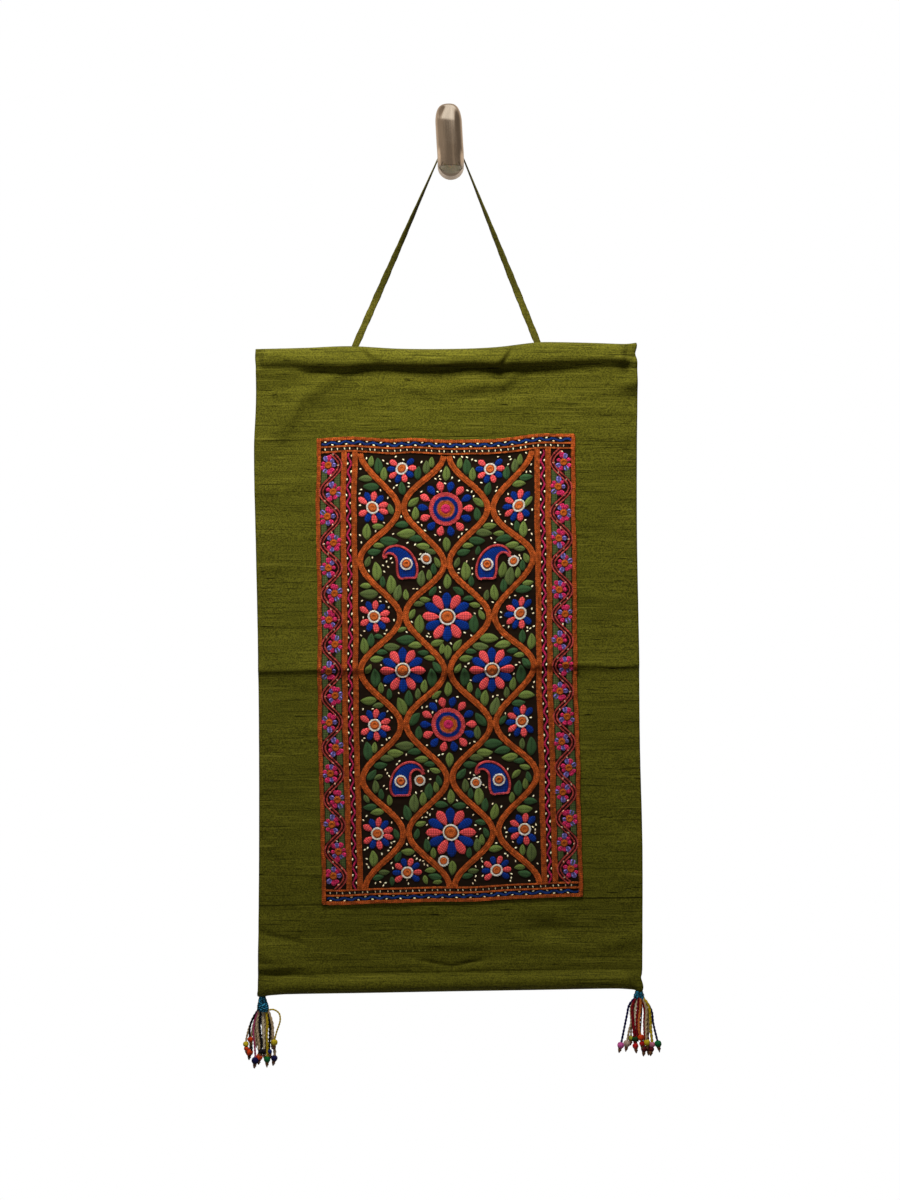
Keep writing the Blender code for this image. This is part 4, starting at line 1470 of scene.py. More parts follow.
def petal_flower(work, centre, count, inner, length, width, offset=0.0):
    """A ring of petals about a cream-ringed disc."""
    petal_ring(work, centre, count, inner, length, width, offset)
    ringed_disc(work, centre, inner + 0.0004)


def round_flower(work, centre, radius):
    """Rings of coral, cobalt and rust about a crimson middle, in a wreath of petals."""
    for thread, place in (("coral", 0.87), ("cobalt", 0.63), ("rust", 0.41)):
        band(work, thread, circle(centre, radius * place, 48), radius * 0.25, 2, 0.0013, closed=True)
    disc(work, "crimson", centre, radius * 0.30, 0.0014)
    work.take([centre], radius)
    petal_ring(work, centre, 14, radius + 0.0004, 0.0086, 0.0060)


def paisley(work, centre, side, length):
    """A curled drop: coral outline, cobalt body and a ringed heart, with its tip turned in."""
    count = 18
    part = np.linspace(0.0, 1.0, count)
    turn = radians(90) - side * radians(165) * part**2.4
    spine = np.cumsum(stacked(np.cos(turn), -np.sin(turn)) * length / (count - 1), axis=0)
    spine += np.asarray(centre) + np.array([side * -0.004, length * 0.40])
    halves = 0.0088 * np.sin(pi * (0.06 + 0.94 * part) ** 0.55) ** 0.8 * (1 - 0.42 * part)
    halves[-1] = 0.0006
    across = sides_of(spine) * halves[:, None]
    outline = np.concatenate([spine + across, (spine - across)[::-1]])
    strip_pad(work, "cobalt", spine, halves * 0.84, 0.0012)
    outline = even_path(np.concatenate([outline, outline[:1]]), 64)[:-1]
    band(work, "coral", outline, 0.0021, 1, 0.0012, closed=True)
    heart = spine[5]
    disc(work, "rust", heart, 0.0034, 0.0025)
    band(work, "cream", circle(heart, 0.0042, 22), 0.0011, 1, 0.0021, closed=True)
    for index in range(0, count, 2):
        work.take([spine[index]], halves[index] + 0.0010)


def cell_motifs(work):
    """The trellis's stems and the flowers that fill its cells."""
    for side in (-1, 1):
        for column in (0, 1):
            path = trellis_line(column, side)
            band(work, "rust", path, 0.0044, 3, 0.0015)
            work.take(path, 0.0022)
    top = FIELD_TOP + CELL_HEIGHT / 2
    for row in range(4):
        centre = (0.0, top + row * CELL_HEIGHT)
        if row % 2 == 0:
            round_flower(work, centre, ROUND_FLOWER)
        else:
            petal_flower(work, centre, *FLOWERS["middle"])
        for side in (-1, 1):
            petal_flower(work, (side * (FIELD_HALF - 0.0126), centre[1]), *FLOWERS["side"])
    for side in (-1, 1):
        for row in range(3):
            centre = (side * CELL_HALF, FIELD_TOP + (row + 1) * CELL_HEIGHT)
            if row == 1:
                petal_flower(work, centre, *FLOWERS["crossing"])
            else:
                paisley(work, centre, side if row == 0 else -side, PAISLEY_LENGTH)
        for end in (FIELD_TOP + 0.0118, FIELD_BOTTOM - 0.0118):
            petal_flower(work, (side * CELL_HALF, end), *FLOWERS["end"])


def place_leaf(work, base, turn, lengths, order):
    """Puts the longest of a few leaves that fits."""
    run = np.array([cos(turn), sin(turn)])
    for length in lengths:
        width = length * 0.54
        places = np.asarray(base) + run * (length * np.array((0.22, 0.5, 0.78, 0.98)))[:, None]
        if work.fits(places, np.array((0.30, 0.44, 0.30, 0.06)) * width, 0.0):
            bend = 0.05 if order % 2 else -0.05
            leaf(work, GREENS[order % len(GREENS)], base, turn, length, width, bend=bend)
            return


def filling(work, leaves, knots):
    """Leaves round flowers and along stems, loose berries and leaves, and knots in the last gaps."""
    for order in range(4 * WREATH):
        row, index = divmod(order, WREATH)
        turn = tau * (index + 0.5) / WREATH
        base = np.array([0.0, FIELD_TOP + (row + 0.5) * CELL_HEIGHT])
        base += 0.0222 * np.array([cos(turn), sin(turn)])
        place_leaf(work, base, turn, (0.0120, 0.0100, 0.0080), order)
    for side in (-1, 1):
        for column in (0, 1):
            path = even_path(trellis_line(column, side), STEM_STEPS)
            across = sides_of(path)
            for index in range(6, STEM_STEPS - 4, LEAF_STEP):
                for wing in (-1, 1):
                    run = np.array([-across[index][1], across[index][0]]) * 0.72 + across[index] * wing * 0.72
                    base = path[index] + across[index] * wing * 0.0031
                    lengths = (0.0150, 0.0130, 0.0110, 0.0090)
                    place_leaf(work, base, atan2(run[1], run[0]), lengths, index // LEAF_STEP + wing)
    across, top, bottom = work.limits
    for _ in range(leaves):
        place = (work.random.uniform(-across, across), work.random.uniform(top, bottom))
        if work.fits([place], [0.0042], 0.0003):
            ringed_disc(work, place, 0.0040)
    for index in range(leaves):
        base = (work.random.uniform(-across, across), work.random.uniform(top, bottom))
        lengths = (0.0130, 0.0108) if index < leaves // 2 else (0.0095, 0.0078)
        place_leaf(work, base, work.random.uniform(0.0, tau), lengths, index)
    for _ in range(knots):
        place = (work.random.uniform(-across, across), work.random.uniform(top, bottom))
        if work.fits([place], [0.0009], 0.0004):
            work.add_single(place, work.random.uniform(0.0, pi))


class HANGING_OT_silk(Operator):
    """Makes the olive silk with its two rod pockets"""

    bl_idname = "hanging.silk"
    bl_label = "Silk"

    def execute(self, context):
        cloth = context.scene.hanging_cloth
        columns = [silk_column(across) for across in close_columns(SILK_COLUMNS)]
        # The upper pocket, which stands forward and faces up towards the key light, gets painted light above
        # its middle.
        surface = silk_finish(
            "olive raw silk", cloth.silk, cloth.silk_dark, cloth.silk_light, SILK_DARK_LINES, above=POCKET_PAINTED_LIGHT,
        )
        piece = add_solid("silk_ground", slab_mesh(columns, cloth.silk_thickness), surface)
        keep(piece, "olive_silk", "ground_panel")
        for node, label in (("top_rod", "upper dowel"), ("bottom_rod", "lower dowel")):
            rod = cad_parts[node]
            rod.data.materials.clear()
            rod.data.materials.append(wood_finish(label))
        return {"FINISHED"}


class HANGING_OT_dark_cloth(Operator):
    """Makes the near-black cloth that carries the embroidery"""

    bl_idname = "hanging.dark_cloth"
    bl_label = "Dark cloth"

    def execute(self, context):
        cloth = context.scene.hanging_cloth
        columns = []
        down = np.linspace(0.0, PANEL_HEIGHT, DARK_ROWS)
        for across in np.linspace(-HALF, HALF, DARK_COLUMNS):
            column = on_panel(np.full(DARK_ROWS, across), down, -PANEL_THICKNESS / 2)
            free = smooth_step((FIELD_HALF - abs(across)) / 0.004)
            free = free * smooth_step((down - FIELD_TOP) / 0.004) * smooth_step((FIELD_BOTTOM - down) / 0.004)
            column[:, 1] -= free * pucker_rise(column[:, 0], column[:, 2], cloth.pucker)
            columns.append(column)
        surface = dark_cloth_finish("near-black cotton", cloth.dark_cloth)
        piece = add_solid("dark_cloth", slab_mesh(columns, PANEL_THICKNESS), surface)
        keep(piece, "embroidered_cloth", "embroidered_panel")
        return {"FINISHED"}


class HANGING_OT_embroidery(Operator):
    """Embroiders the borders and the field"""

    bl_idname = "hanging.embroidery"
    bl_label = "Embroidery"

    def execute(self, context):
        scene = context.scene
        stitches = scene.hanging_stitches
        threads = scene.hanging_threads
        shapes = {"link": helper_object("chain_link", link_mesh(stitches))}
        for kind, long, wide in (("knot", 1.0, 1.0), ("dash", 1.0, 0.8), ("slant", 1.3, 0.45)):
            shape = knot_mesh(stitches.knot_length * long, stitches.knot_width * wide)
            shapes[kind] = helper_object(kind, shape)
        border = Needlework(stitches)
        edge_bars(border)
        wave_strips(border)
        zigzag_strips(border)
        flower_strips(border)
        make_needlework(border, "border", threads, shapes)
        field = Needlework(stitches, (FIELD_HALF - 0.0008, FIELD_TOP + 0.0008, FIELD_BOTTOM - 0.0008))
        cell_motifs(field)
        filling(field, leaves=1800, knots=3000)
        make_needlework(field, "field", threads, shapes)
        for shape in shapes.values():
            bpy.data.objects.remove(shape)
        return {"FINISHED"}


def frames_along(path):
    """For each place on a path, two unit vectors across it that don't spin."""
    ahead = np.gradient(path, axis=0)
    ahead /= np.linalg.norm(ahead, axis=1, keepdims=True)
    first = np.cross(ahead[0], (0.0, -1.0, 0.2))
    firsts, seconds = [], []
    for run in ahead:
        first = first - run * np.dot(first, run)
        first /= np.linalg.norm(first)
        firsts.append(first.copy())
        seconds.append(np.cross(run, first))
    return firsts, seconds


def ring_across(first, second, reach, turn):
    """Offsets of a ring's points from the place on a path that it goes round."""
    return first * (reach * np.cos(turn))[:, None] + second * (reach * np.sin(turn))[:, None]


def twisted_strand(name, path, diameter, lay, sides, surface, taper=0.004):
    """A cord of two plies: its section is a soft figure of eight that turns along the path."""
    firsts, seconds = frames_along(path)
    step = path_length(path) / (len(path) - 1)
    angle = np.arange(sides) * tau / sides

    def section(index):
        turn = tau * index * step / lay
        left = (len(path) - 1 - index) * step
        size = diameter / 2 * float(0.45 + 0.55 * smooth_step(left / taper))
        reach = size * (0.85 + 0.15 * np.cos(2 * (angle - turn)))
        return ring_across(firsts[index], seconds[index], reach, angle)

    return add_solid(name, lofted([path[index] + section(index) for index in range(len(path))]), surface)


def strap_side(anchor, angle, radius, sign, steps):
    """Stations of one strand, from its sewn tail up to the peg: place, run and turn."""
    touch = Vector((cos(angle), 0.0, sin(angle))) * radius
    run = (touch - anchor).normalized()
    tail = anchor - run * STRAP_TAIL
    length = (touch - tail).length
    back = POCKET_DEPTH - TOP_POCKET_OUT - CLOTH / 2 - TOUCH - STRAP_THICKNESS / 2
    stations = []
    for step in range(steps):
        part = step / steps
        place = tail + run * length * part
        climb = float(smooth_step((part * length - STRAP_TAIL) / (length - STRAP_TAIL)))
        place.y = -(back + (STRAP_PEG_DEPTH - back) * climb)
        turned = 1 - min(1.0, length * (1 - part) / STRAP_TWIST) ** 1.25
        stations.append((place, run * sign, radians(90) * turned))
    return stations


def tangent_angle(anchor, radius, side):
    bearing = atan2(anchor.z, anchor.x)
    return bearing + side * acos(radius / hypot(anchor.x, anchor.z))


def strap_stations():
    radius = PEG_RADIUS + TOUCH + STRAP_THICKNESS / 2
    left_angle = tangent_angle(STRAP_LEFT, radius, -1) + tau
    right_angle = tangent_angle(STRAP_RIGHT, radius, 1)
    stations = strap_side(STRAP_LEFT, left_angle, radius, 1, STRAP_STEPS)
    steps = 24
    for step in range(steps + 1):
        angle = left_angle + (right_angle - left_angle) * step / steps
        place = Vector((cos(angle) * radius, -STRAP_PEG_DEPTH, sin(angle) * radius))
        stations.append((place, Vector((sin(angle), 0.0, -cos(angle))), radians(90)))
    return stations + strap_side(STRAP_RIGHT, right_angle, radius, -1, STRAP_STEPS)[::-1]


class HANGING_OT_strap(Operator):
    """Makes the silk strap that runs over the peg"""

    bl_idname = "hanging.strap"
    bl_label = "Strap"

    def execute(self, context):
        cloth = context.scene.hanging_cloth
        stations = strap_stations()
        path = np.array([place for place, _, _ in stations])
        outline = table(
            "side rise",
            (-1.0, 0.0), (-0.92, 0.62), (-0.55, 0.95), (-0.08, 0.86), (0.08, 0.70), (0.55, 0.86),
            (0.92, 0.62), (1.0, 0.0), (0.92, -0.7), (0.5, -0.95), (-0.5, -0.95), (-0.92, -0.7),
        )

        def section(index):
            _, run, turn = stations[index]
            across = OUT.cross(run)
            wide = across * cos(turn) + OUT * sin(turn)
            thick = wide.cross(run)
            ripple = 1 + 0.05 * sin(index * 0.9) + 0.03 * sin(index * 2.3)
            return np.array([
                wide * (side * ripple * STRAP_WIDTH / 2) + thick * (rise * STRAP_THICKNESS / 2)
                for side, rise in outline
            ])

        # The strap's upper part, where it turns away from the light, gets painted shade: its colour is
        # multiplied by 0.62 there.
        surface = silk_finish(
            "strap silk", cloth.strap, cloth.silk_dark, cloth.silk, slub=0.8, above=(STRAP_PAINTED_SHADE_FROM, 0.62),
        )
        shape = lofted([path[index] + section(index) for index in range(len(path))])
        piece = keep(add_solid("silk_strap", shape, surface), "strap_silk", "hanging_loop")
        return {"FINISHED"}


class HANGING_OT_peg(Operator):
    """Makes the bent metal peg"""

    bl_idname = "hanging.peg"
    bl_label = "Peg"

    def execute(self, context):
        peg = context.scene.hanging_peg
        right = Vector((1.0, 0.0, 0.0))
        corner = OUT * PEG_REACH
        bend_centre = OUT * (PEG_REACH - PEG_BEND) + UP * PEG_BEND
        bevel = 0.0006
        steps = 20
        stations = [(Vector(), UP, PEG_RADIUS - bevel, 0.0), (OUT * bevel, UP, PEG_RADIUS, 0.0)]
        for step in range(steps + 1):
            turn = radians(90) * step / steps
            place = bend_centre + (OUT * sin(turn) - UP * cos(turn)) * PEG_BEND
            stations.append((place, UP * cos(turn) - OUT * sin(turn), PEG_RADIUS, step / steps))
        for step in range(steps):
            rise = radians(88.5) * step / (steps - 1)
            place = corner + UP * (PEG_TOP - PEG_DOME * (1 - sin(rise)))
            stations.append((place, -OUT, PEG_RADIUS * cos(rise) ** PEG_DOME_FULL, 1.0))
        turns = [tau * index / peg.sides for index in range(peg.sides)]
        rings = []
        for place, second, radius, share in stations:
            lean = Matrix.Rotation(-PEG_LEAN * share, 3, "Y")
            offsets = [(right * cos(turn) + second * sin(turn)) * radius for turn in turns]
            rings.append([corner + lean @ (place + offset - corner) for offset in offsets])
        surface = metal_finish("brushed nickel", peg.metal, peg.polished)
        piece = add_solid("bent_peg", lofted(rings), surface)
        piece.data.set_sharp_from_angle(angle=radians(50))
        keep(piece, "brushed_nickel", "wall_peg")
        return {"FINISHED"}


# Tassel threads and beads, as a screen shows their colours
THREAD_COLOURS = {
    "black": (17, 14, 16), "pink": (158, 64, 96), "tan": (172, 148, 115), "beige": (195, 179, 149),
    "yellow": (175, 148, 24), "navy": (14, 12, 62), "dark_red": (115, 10, 21), "orange": (182, 99, 47),
    "brown": (115, 78, 52),
}
BEAD_COLOURS = {
    "orange": (177, 52, 16), "yellow": (172, 151, 28), "navy": (8, 8, 54), "green": (10, 85, 42),
    "black": (19, 16, 21), "blue": (21, 35, 94), "rose": (175, 78, 135), "beige": (151, 129, 113),
    "dark_green": (14, 50, 19), "red": (151, 21, 21), "mauve": (158, 89, 109), "dark_red": (71, 12, 17),
    "lime": (129, 129, 33),
}

# Strands from the foot of each head, in millimetres. A bead has its colour, place across and down, and size
LEFT_FOOT = Vector((-0.1484, -POCKET_DEPTH, -0.6676))
RIGHT_FOOT = Vector((0.1488, -POCKET_DEPTH, -0.6583))
LEFT_STRANDS = table(
    "thread thick depth beads route",
    ("black", 2.1, 1.0, (("orange", -10.2, -23.0, 4.2),),
     ((-3.4, 0.6), (-7.7, -6.2), (-10.1, -13.1), (-10.3, -20.0), (-8.8, -30.3), (-11.2, -38.4))),
    ("pink", 1.8, 2.2, (("navy", -5.9, -39.6, 5.4),),
     ((-3.2, 0.6), (-6.3, -8.4), (-7.4, -17.1), (-6.6, -25.8), (-5.9, -39.0), (-7.4, -45.0))),
    ("tan", 2.8, 0.6, (("orange", -2.8, -36.8, 5.0),),
     ((-2.8, 0.6), (-4.8, -10.6), (-4.2, -19.4), (-3.2, -27.3), (-2.7, -36.0), (-3.6, -41.6))),
    ("black", 2.1, 2.4, (("black", -1.8, -32.6, 3.6),),
     ((-1.2, 0.6), (-2.4, -9.7), (-1.7, -19.4), (-0.7, -25.8), (-2.0, -34.6))),
    ("beige", 2.9, 0.4, (("black", 1.1, -32.6, 4.4),),
     ((0.2, 0.6), (0.2, -12.8), (0.6, -21.6), (0.9, -30.5), (1.1, -36.2))),
    ("yellow", 2.4, 2.8, (("green", 3.4, -38.4, 4.8),),
     ((2.4, 0.6), (3.6, -10.6), (3.2, -19.4), (3.6, -28.1), (3.5, -37.0), (3.3, -45.0))),
    ("black", 2.1, 1.4, (("blue", 5.6, -32.6, 3.8),),
     ((3.4, 0.6), (5.4, -10.6), (5.5, -19.4), (5.1, -30.3), (5.6, -35.2))),
    ("tan", 2.7, 0.2, (("navy", 9.1, -37.8, 4.8),),
     ((3.8, 0.6), (7.3, -10.6), (7.9, -19.4), (9.0, -28.1), (9.3, -36.0), (7.9, -43.2))),
    ("yellow", 1.5, 2.6, (("yellow", 9.2, -25.2, 4.9),),
     ((4.0, 0.2), (8.6, 0.5), (12.9, -2.4), (13.7, -8.2), (10.9, -17.2), (9.3, -24.0), (8.9, -28.6))),
    ("navy", 1.6, -1.4, (),
     ((-0.6, 0.6), (-1.6, -8.0), (2.2, -18.0), (2.6, -30.0))),
    ("tan", 1.9, -1.2, (("orange", -10.4, -33.4, 5.2),),
     ((-3.6, 0.6), (-7.6, -12.0), (-9.2, -22.0), (-10.4, -32.0), (-10.8, -37.6))),
    ("beige", 2.6, -1.6, (),
     ((-2.2, 0.6), (-3.2, -9.0), (-2.6, -19.0), (-2.4, -30.0))),
    ("tan", 2.4, -1.8, (),
     ((1.4, 0.6), (2.0, -10.0), (1.9, -20.0), (2.2, -31.0))),
    ("tan", 2.4, -1.5, (),
     ((3.0, 0.6), (5.0, -9.0), (6.8, -20.0), (7.2, -31.0))),
    ("tan", 2.3, -1.6, (),
     ((-3.4, 0.6), (-5.8, -9.0), (-6.2, -19.0), (-5.0, -30.0))),
    ("tan", 1.8, -0.2, (("yellow", -13.3, -26.9, 4.2), ("orange", -12.9, -30.4, 3.6)),
     ((-3.8, 0.6), (-8.9, -9.0), (-12.0, -18.0), (-13.4, -26.4), (-12.7, -32.4))),
)
RIGHT_STRANDS = table(
    "thread thick depth beads route",
    ("navy", 2.0, 1.2, (("rose", -14.7, -36.8, 5.0),),
     ((-3.4, 0.5), (-7.9, -5.2), (-9.6, -12.6), (-11.8, -23.3), (-14.4, -36.0), (-15.9, -42.2))),
    ("dark_red", 2.8, 2.2, (("red", -3.2, -37.2, 4.4),),
     ((-2.8, 0.5), (-5.4, -6.0), (-5.3, -14.7), (-4.4, -23.3), (-3.2, -36.0), (-2.2, -42.6))),
    ("tan", 2.0, 0.4, (("beige", -9.7, -35.4, 5.2),),
     ((-3.2, 0.5), (-6.5, -6.5), (-6.4, -19.0), (-8.0, -25.4), (-9.6, -35.0), (-10.6, -42.2))),
    ("beige", 2.1, 0.8, (("dark_green", -3.0, -32.0, 4.8),),
     ((-1.6, 0.5), (-2.9, -8.2), (-3.3, -16.8), (-3.4, -27.7), (-2.9, -34.8))),
    ("dark_red", 2.0, 2.0, (),
     ((-0.6, 0.5), (-1.2, -8.2), (-2.0, -16.8), (-1.9, -27.7), (-0.8, -34.0))),
    ("orange", 2.5, 2.8, (("orange", 1.4, -30.8, 4.8), ("red", 2.2, -35.4, 4.0)),
     ((1.2, 0.5), (0.9, -8.2), (-0.2, -16.8), (-0.1, -25.4), (1.4, -31.0), (2.6, -38.6))),
    ("black", 1.2, 0.0, (),
     ((0.6, 0.5), (2.0, -6.5), (1.6, -16.0), (0.7, -30.4))),
    ("dark_red", 2.0, 1.0, (("dark_red", 3.8, -40.0, 4.6),),
     ((2.2, 0.5), (4.2, -8.2), (3.8, -19.0), (4.1, -29.7), (3.8, -39.6), (3.1, -44.8))),
    ("tan", 2.7, 1.8, (("yellow", 6.1, -34.8, 4.8),),
     ((2.8, 0.5), (5.6, -8.2), (5.4, -19.0), (5.6, -30.5), (6.4, -37.4))),
    ("yellow", 2.5, 2.4, (("mauve", 10.1, -36.4, 4.4), ("dark_red", 9.8, -40.0, 3.8)),
     ((3.2, 0.5), (7.5, -6.0), (8.8, -16.8), (9.2, -25.4), (10.1, -36.0), (9.2, -43.0))),
    ("navy", 2.0, 0.6, (("green", 15.0, -36.0, 5.2),),
     ((3.4, 0.5), (9.6, -9.4), (11.1, -19.8), (14.6, -34.6), (16.1, -42.6))),
    ("tan", 1.8, -1.0, (("lime", -6.6, -31.4, 4.0),),
     ((-2.4, 0.5), (-5.4, -12.0), (-6.2, -24.0), (-6.7, -34.4))),
    ("beige", 2.4, -1.6, (),
     ((-1.8, 0.5), (-3.9, -9.0), (-4.3, -18.0), (-3.8, -31.5))),
    ("brown", 2.2, -1.8, (),
     ((0.2, 0.5), (0.4, -9.0), (-0.6, -18.0), (-0.8, -31.0))),
    ("tan", 2.3, -1.5, (),
     ((2.6, 0.5), (6.4, -9.0), (7.2, -18.0), (7.4, -30.0))),
    ("dark_red", 1.8, -1.2, (("dark_red", 7.6, -39.4, 4.2),),
     ((1.8, 0.5), (4.6, -12.0), (6.6, -26.0), (7.6, -38.0), (7.4, -43.0))),
)


# Forms turned about the thread: radius at each place along it, in parts of the form's size
BEAD_OUTLINE = table(
    "along radius",
    (0.44, 0.12), (0.42, 0.25), (0.33, 0.39),
    (0.17, 0.48), (0.0, 0.50), (-0.17, 0.48),
    (-0.33, 0.39), (-0.42, 0.25), (-0.44, 0.12),
)
TIP_OUTLINE = table(
    "along radius",
    (-0.50, 0.16), (-0.42, 0.40), (-0.22, 0.52),
    (-0.02, 0.38), (0.16, 0.47), (0.36, 0.36),
    (0.60, 0.27), (0.84, 0.14), (0.92, 0.04),
)

# Heads of the tassels: half width in millimetres at each share of the way down
LEFT_HEAD = table(
    "along radius",
    (0.0, 2.1), (0.06, 2.6), (0.35, 3.5),
    (0.60, 4.4), (0.84, 4.8), (1.0, 3.6),
)
RIGHT_HEAD = table(
    "along radius",
    (0.0, 1.4), (0.2, 1.8), (0.6, 2.3), (1.0, 1.9),
)
# Where each head hangs, and how far it leans to the right on its way down
HEADS = table(
    "side x z length lean outline",
    ("left", -0.1489, -0.6558, 0.0132, 0.0008, LEFT_HEAD),
    ("right", 0.1475, -0.6518, 0.0074, -0.0013, RIGHT_HEAD),
    ("right", 0.1499, -0.6518, 0.0074, 0.0010, RIGHT_HEAD),
)


def turned_form(centre, size, run, outline, lobes=0.0):
    """A round form about the way the thread runs; lobes makes it knobbly."""
    first = run.orthogonal().normalized()
    second = run.cross(first)
    rings = []
    sides = 12
    for along, radius in outline:
        ring = []
        for index in range(sides):
            turn = tau * index / sides
            reach = radius * size * (1 + lobes * sin(3 * turn + 9 * along))
            ring.append(centre + run * along * size + (first * cos(turn) + second * sin(turn)) * reach)
        rings.append(ring)
    return lofted(rings)


def tassel_strands(side, foot, strands, sides, finishes):
    """Makes the strands of one tassel with their beads."""
    for order, strand in enumerate(strands):
        route = []
        last = len(strand.route) - 1
        for index, (x, z) in enumerate(strand.route):
            out = 0.6 * strand.depth * (0.3 + 0.7 * min(1.0, 2 * index / last))
            route.append((foot.x + x / 1000, foot.y - out / 1000, foot.z + z / 1000))
        path = smooth_path(route, STRAND_POINTS)
        name = f"tassel_{side}_strand_{order + 1}"
        thick = strand.thick / 1000
        piece = twisted_strand(name, path, thick, 2.8 * thick, sides, finishes["thread"][strand.thread])
        keep(piece, "tassel_threads", "tassel_skirt_" + side)
        for number, (colour, x, z, size) in enumerate(strand.beads):
            away = np.hypot(path[:, 0] - (foot.x + x / 1000), path[:, 2] - (foot.z + z / 1000))
            near = min(max(int(np.argmin(away)), 1), len(path) - 2)
            run = Vector(path[near + 1] - path[near - 1]).normalized()
            shape = turned_form(Vector(path[near]), size * 1.1 / 1000, run, BEAD_OUTLINE)
            made = add_solid(f"{name}_bead_{number + 1}", shape, finishes["bead"][colour])
            keep(made, "tassel_threads")
            if number == len(strand.beads) - 1:
                below = Vector(path[near]) + run * (size * 0.5 + 0.9) / 1000
                shape = turned_form(below, 0.0031, run, TIP_OUTLINE, 0.16)
                made = add_solid(f"{name}_tip", shape, finishes["thread"]["brown"])
                keep(made, "tassel_threads")


def wrapped_head(name, head, thread, surface):
    """Thread wound and knotted round the neck of a tassel, over a closed core."""
    length = head.length
    turns = int(length / (thread * 0.78))
    part = np.linspace(0.0, 1.0, turns * 26)
    angle = part * turns * tau
    shares = [ring.along for ring in head.outline]
    radius = np.interp(part, shares, [ring.radius / 1000 for ring in head.outline]) - thread / 2
    knobs = 0.00022 * np.sin(angle * 6.5) + 0.0001 * np.sin(angle * 2.3)

    def around(turn, reach, down):
        across = head.x + head.lean * down / length + reach * np.cos(turn)
        return stacked(across, -POCKET_DEPTH + 0.8 * reach * np.sin(turn), head.z - down)

    path = around(angle, radius + knobs, thread / 2 + (length - thread) * part + 0.0001 * np.cos(angle * 6.5))
    firsts, seconds = frames_along(path)
    turn = np.arange(5) * tau / 5
    size = thread / 2 * (1 + 0.25 * np.sin(angle * 6.5 + 1.0))
    rings = []
    for index, place in enumerate(path):
        rings.append(place + ring_across(firsts[index], seconds[index], size[index], turn))
    points, faces = lofted(rings)
    sides = 18
    core = []
    for share in np.linspace(0.0, 1.0, 14):
        reach = np.full(sides, np.interp(share, part, radius))
        down = np.full(sides, 0.0002 + (length - 0.0004) * share)
        core.append(around(np.arange(sides) * tau / sides, reach, down))
    core_points, core_faces = lofted(core)
    faces += [[corner + len(points) for corner in face] for face in core_faces]
    return add_solid(name, (np.concatenate([points, core_points]), faces), surface)


class HANGING_OT_tassels(Operator):
    """Makes both tassels: wrapped heads, twisted strands and beads"""

    bl_idname = "hanging.tassels"
    bl_label = "Tassels"

    def execute(self, context):
        tassels = context.scene.hanging_tassels
        finishes = {"thread": {}, "bead": {}}
        for name, value in THREAD_COLOURS.items():
            finishes["thread"][name] = cord_finish(name + " tassel thread", screen(*value))
        for name, value in BEAD_COLOURS.items():
            finishes["bead"][name] = bead_finish(name + " bead", screen(*value))
        wrapping = cord_finish("teal wrapping thread", tassels.wrapping, 1.0)
        for order, head in enumerate(HEADS):
            name = f"tassel_{head.side}_wrapping_{order + 1}"
            made = wrapped_head(name, head, tassels.wrap_thread, wrapping)
            keep(made, "teal_wrapping", "tassel_head_" + head.side)
        tassel_strands("left", LEFT_FOOT, LEFT_STRANDS, tassels.cord_sides, finishes)
        tassel_strands("right", RIGHT_FOOT, RIGHT_STRANDS, tassels.cord_sides, finishes)
        return {"FINISHED"}


def area_light(name, place, aim, size, power):
    light = bpy.data.lights.new(name, "AREA")
    light.shape = "DISK"
    light.size = size
    light.energy = power
    made = add_object(name, light)
    made.location = place
    made.rotation_euler = (Vector(aim) - Vector(place)).to_track_quat("-Z", "Y").to_euler()
    made.visible_glossy = False


def background(tree, colour, strength):
    return add_node(tree, "ShaderNodeBackground", {"Color": colour, "Strength": strength}).outputs[0]


def mirrored_room(tree, strength):
    """The room that metal mirrors: a window, a wall, a stripe and a low glow."""
    way = place_parts(add_node(tree, "ShaderNodeTexCoord").outputs["Generated"])
    slant = minus(way[0], times(way[2], 0.85))
    window = times(between(way[2], 0.205, 0.275), between(way[0], 0.86, 0.64))
    window = times(window, between(slant, -1.25, -1.05))
    window = times(window, between(way[1], 0.45, 0.25))
    stripe = apart(way[0], 0.42)
    low = times(between(way[1], 0.05, 0.45), between(way[2], 0.06, -0.08))
    low = times(low, between(way[2], -0.42, -0.22))
    low = times(low, between(maths("ABSOLUTE", way[0]), 0.4, 0.8))
    wall = times(between(way[1], 0.2, 0.8), between(way[2], -0.12, 0.0))
    lit = 0.8
    for part, bright in (
        (window, 3.2),
        (between(way[0], -0.35, -1.0), 0.5),
        (between(stripe, 0.20, 0.04), 0.38),
        (between(way[0], 0.70, 0.97), -0.2),
        (wall, 1.4),
        (low, 2.0),
    ):
        lit = plus(lit, times(part, bright))
    colour = blend(window, (1.0, 0.83, 0.68, 1.0), (1.0, 0.97, 0.93, 1.0))
    return background(tree, colour, times(lit, strength))


SENSOR = 36.0
VIEW_HEIGHT = 0.948
VIEW_MIDDLE = Vector((-0.0006, -HANG_DEPTH, -0.3437))
FLOOR_HEIGHT = -1.05
FLOOR_RADIUS = 0.9


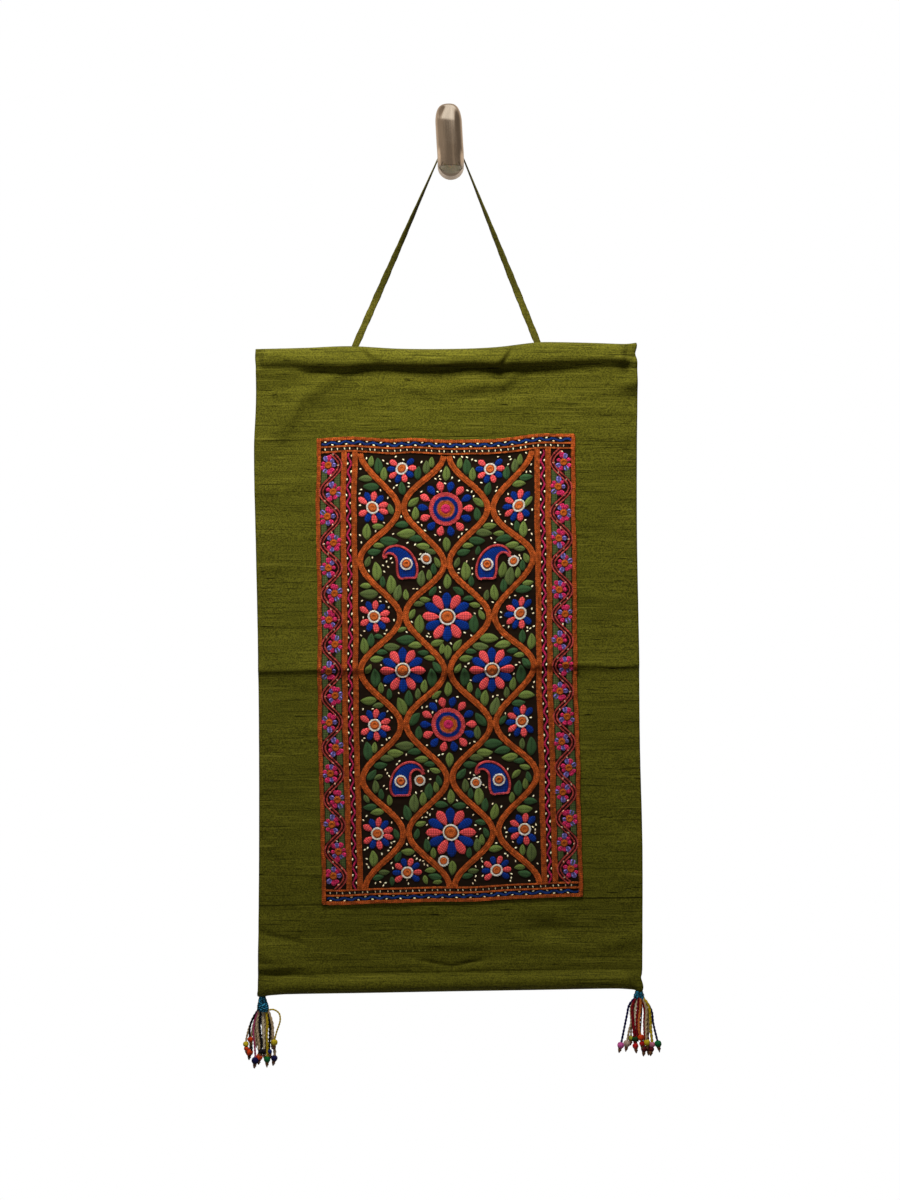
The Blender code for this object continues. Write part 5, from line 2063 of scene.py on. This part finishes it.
class HANGING_OT_stage(Operator):
    """Sets the camera, the lights, the white room and the floor"""

    bl_idname = "hanging.stage"
    bl_label = "Stage"

    def execute(self, context):
        scene = context.scene
        stage = scene.hanging_stage
        camera = bpy.data.cameras.new("camera")
        camera.lens = stage.lens
        camera.sensor_width = SENSOR
        camera.clip_start = 0.01
        made = add_object("camera", camera)
        made.location = VIEW_MIDDLE + OUT * (VIEW_HEIGHT * stage.lens / SENSOR)
        made.rotation_euler = (radians(90), 0.0, 0.0)
        scene.camera = made
        area_light("key_light", (-0.08, -0.46, 0.35), (0.0, 0.0, -0.36), 0.26, stage.key_power)
        area_light("fill_light", (-0.9, -1.9, -0.1), (0.0, 0.0, -0.35), 1.4, stage.fill_power)
        area_light("back_light", (0.6, 1.6, 0.5), (0.0, 0.0, -0.35), 1.2, stage.fill_power * 3)
        world = bpy.data.worlds.new("white room")
        world.use_nodes = True
        tree = world.node_tree
        tree.nodes.clear()
        seen = background(tree, (1.0, 1.0, 1.0, 1.0), 1.0)
        around = background(tree, (1.0, 0.97, 0.92, 1.0), stage.around)
        gloss = mirrored_room(tree, stage.mirrored)
        rays = add_node(tree, "ShaderNodeLightPath").outputs
        room = add_node(tree, "ShaderNodeMixShader", {0: rays["Is Glossy Ray"], 1: around, 2: gloss})
        mixed = add_node(tree, "ShaderNodeMixShader", {0: rays["Is Camera Ray"], 1: room.outputs[0], 2: seen})
        add_node(tree, "ShaderNodeOutputWorld", {"Surface": mixed.outputs[0]})
        scene.world = world
        scene.view_settings.view_transform = "Standard"
        sides = 64
        points = np.column_stack([circle((0.0, 0.0), FLOOR_RADIUS, sides), np.full(sides, FLOOR_HEIGHT)])
        surface, floor_tree, shader = new_finish("pale floor", 0.8)
        grain = stretched(floor_tree, (6.0, 6.0, 6.0), 3.0)
        base = blend(grain, opaque(stage.floor), shaded(stage.floor, 0.95))
        floor_tree.links.new(base, shader.inputs["Base Color"])
        floor = add_mesh("floor", points, [tuple(range(sides))], surface, smooth=False)
        floor.visible_glossy = False
        return {"FINISHED"}


STEPS = (
    HANGING_OT_stage, HANGING_OT_strap, HANGING_OT_tassels, HANGING_OT_peg,
    HANGING_OT_silk, HANGING_OT_dark_cloth, HANGING_OT_embroidery,
)
SETTINGS = (
    ("hanging_cloth", HangingCloth),
    ("hanging_threads", HangingThreads),
    ("hanging_stitches", HangingStitches),
    ("hanging_peg", HangingPeg),
    ("hanging_tassels", HangingTassels),
    ("hanging_stage", HangingStage),
)


class HANGING_PT_panel(Panel):
    """Lists the settings and the steps"""

    bl_idname = "HANGING_PT_panel"
    bl_label = "Embroidered Hanging"
    bl_space_type = "VIEW_3D"
    bl_region_type = "UI"
    bl_category = "Hanging"

    def draw(self, context):
        for name, group in SETTINGS:
            box = self.layout.box()
            settings = getattr(context.scene, name)
            for setting in group.__annotations__:
                box.prop(settings, setting)
        for step in STEPS:
            self.layout.operator(step.bl_idname)


def register():
    for name, group in SETTINGS:
        bpy.utils.register_class(group)
        setattr(bpy.types.Scene, name, PointerProperty(type=group))
    for step in STEPS:
        bpy.utils.register_class(step)
    bpy.utils.register_class(HANGING_PT_panel)


def unregister():
    bpy.utils.unregister_class(HANGING_PT_panel)
    for step in reversed(STEPS):
        bpy.utils.unregister_class(step)
    for name, group in reversed(SETTINGS):
        delattr(bpy.types.Scene, name)
        bpy.utils.unregister_class(group)


def main():
    register()
    bpy.ops.hanging.stage()
    bpy.ops.hanging.strap()
    bpy.ops.hanging.tassels()
    bpy.ops.hanging.peg()
    bpy.ops.hanging.silk()
    bpy.ops.hanging.dark_cloth()
    bpy.ops.hanging.embroidery()


if __name__ == "__main__":
    main()
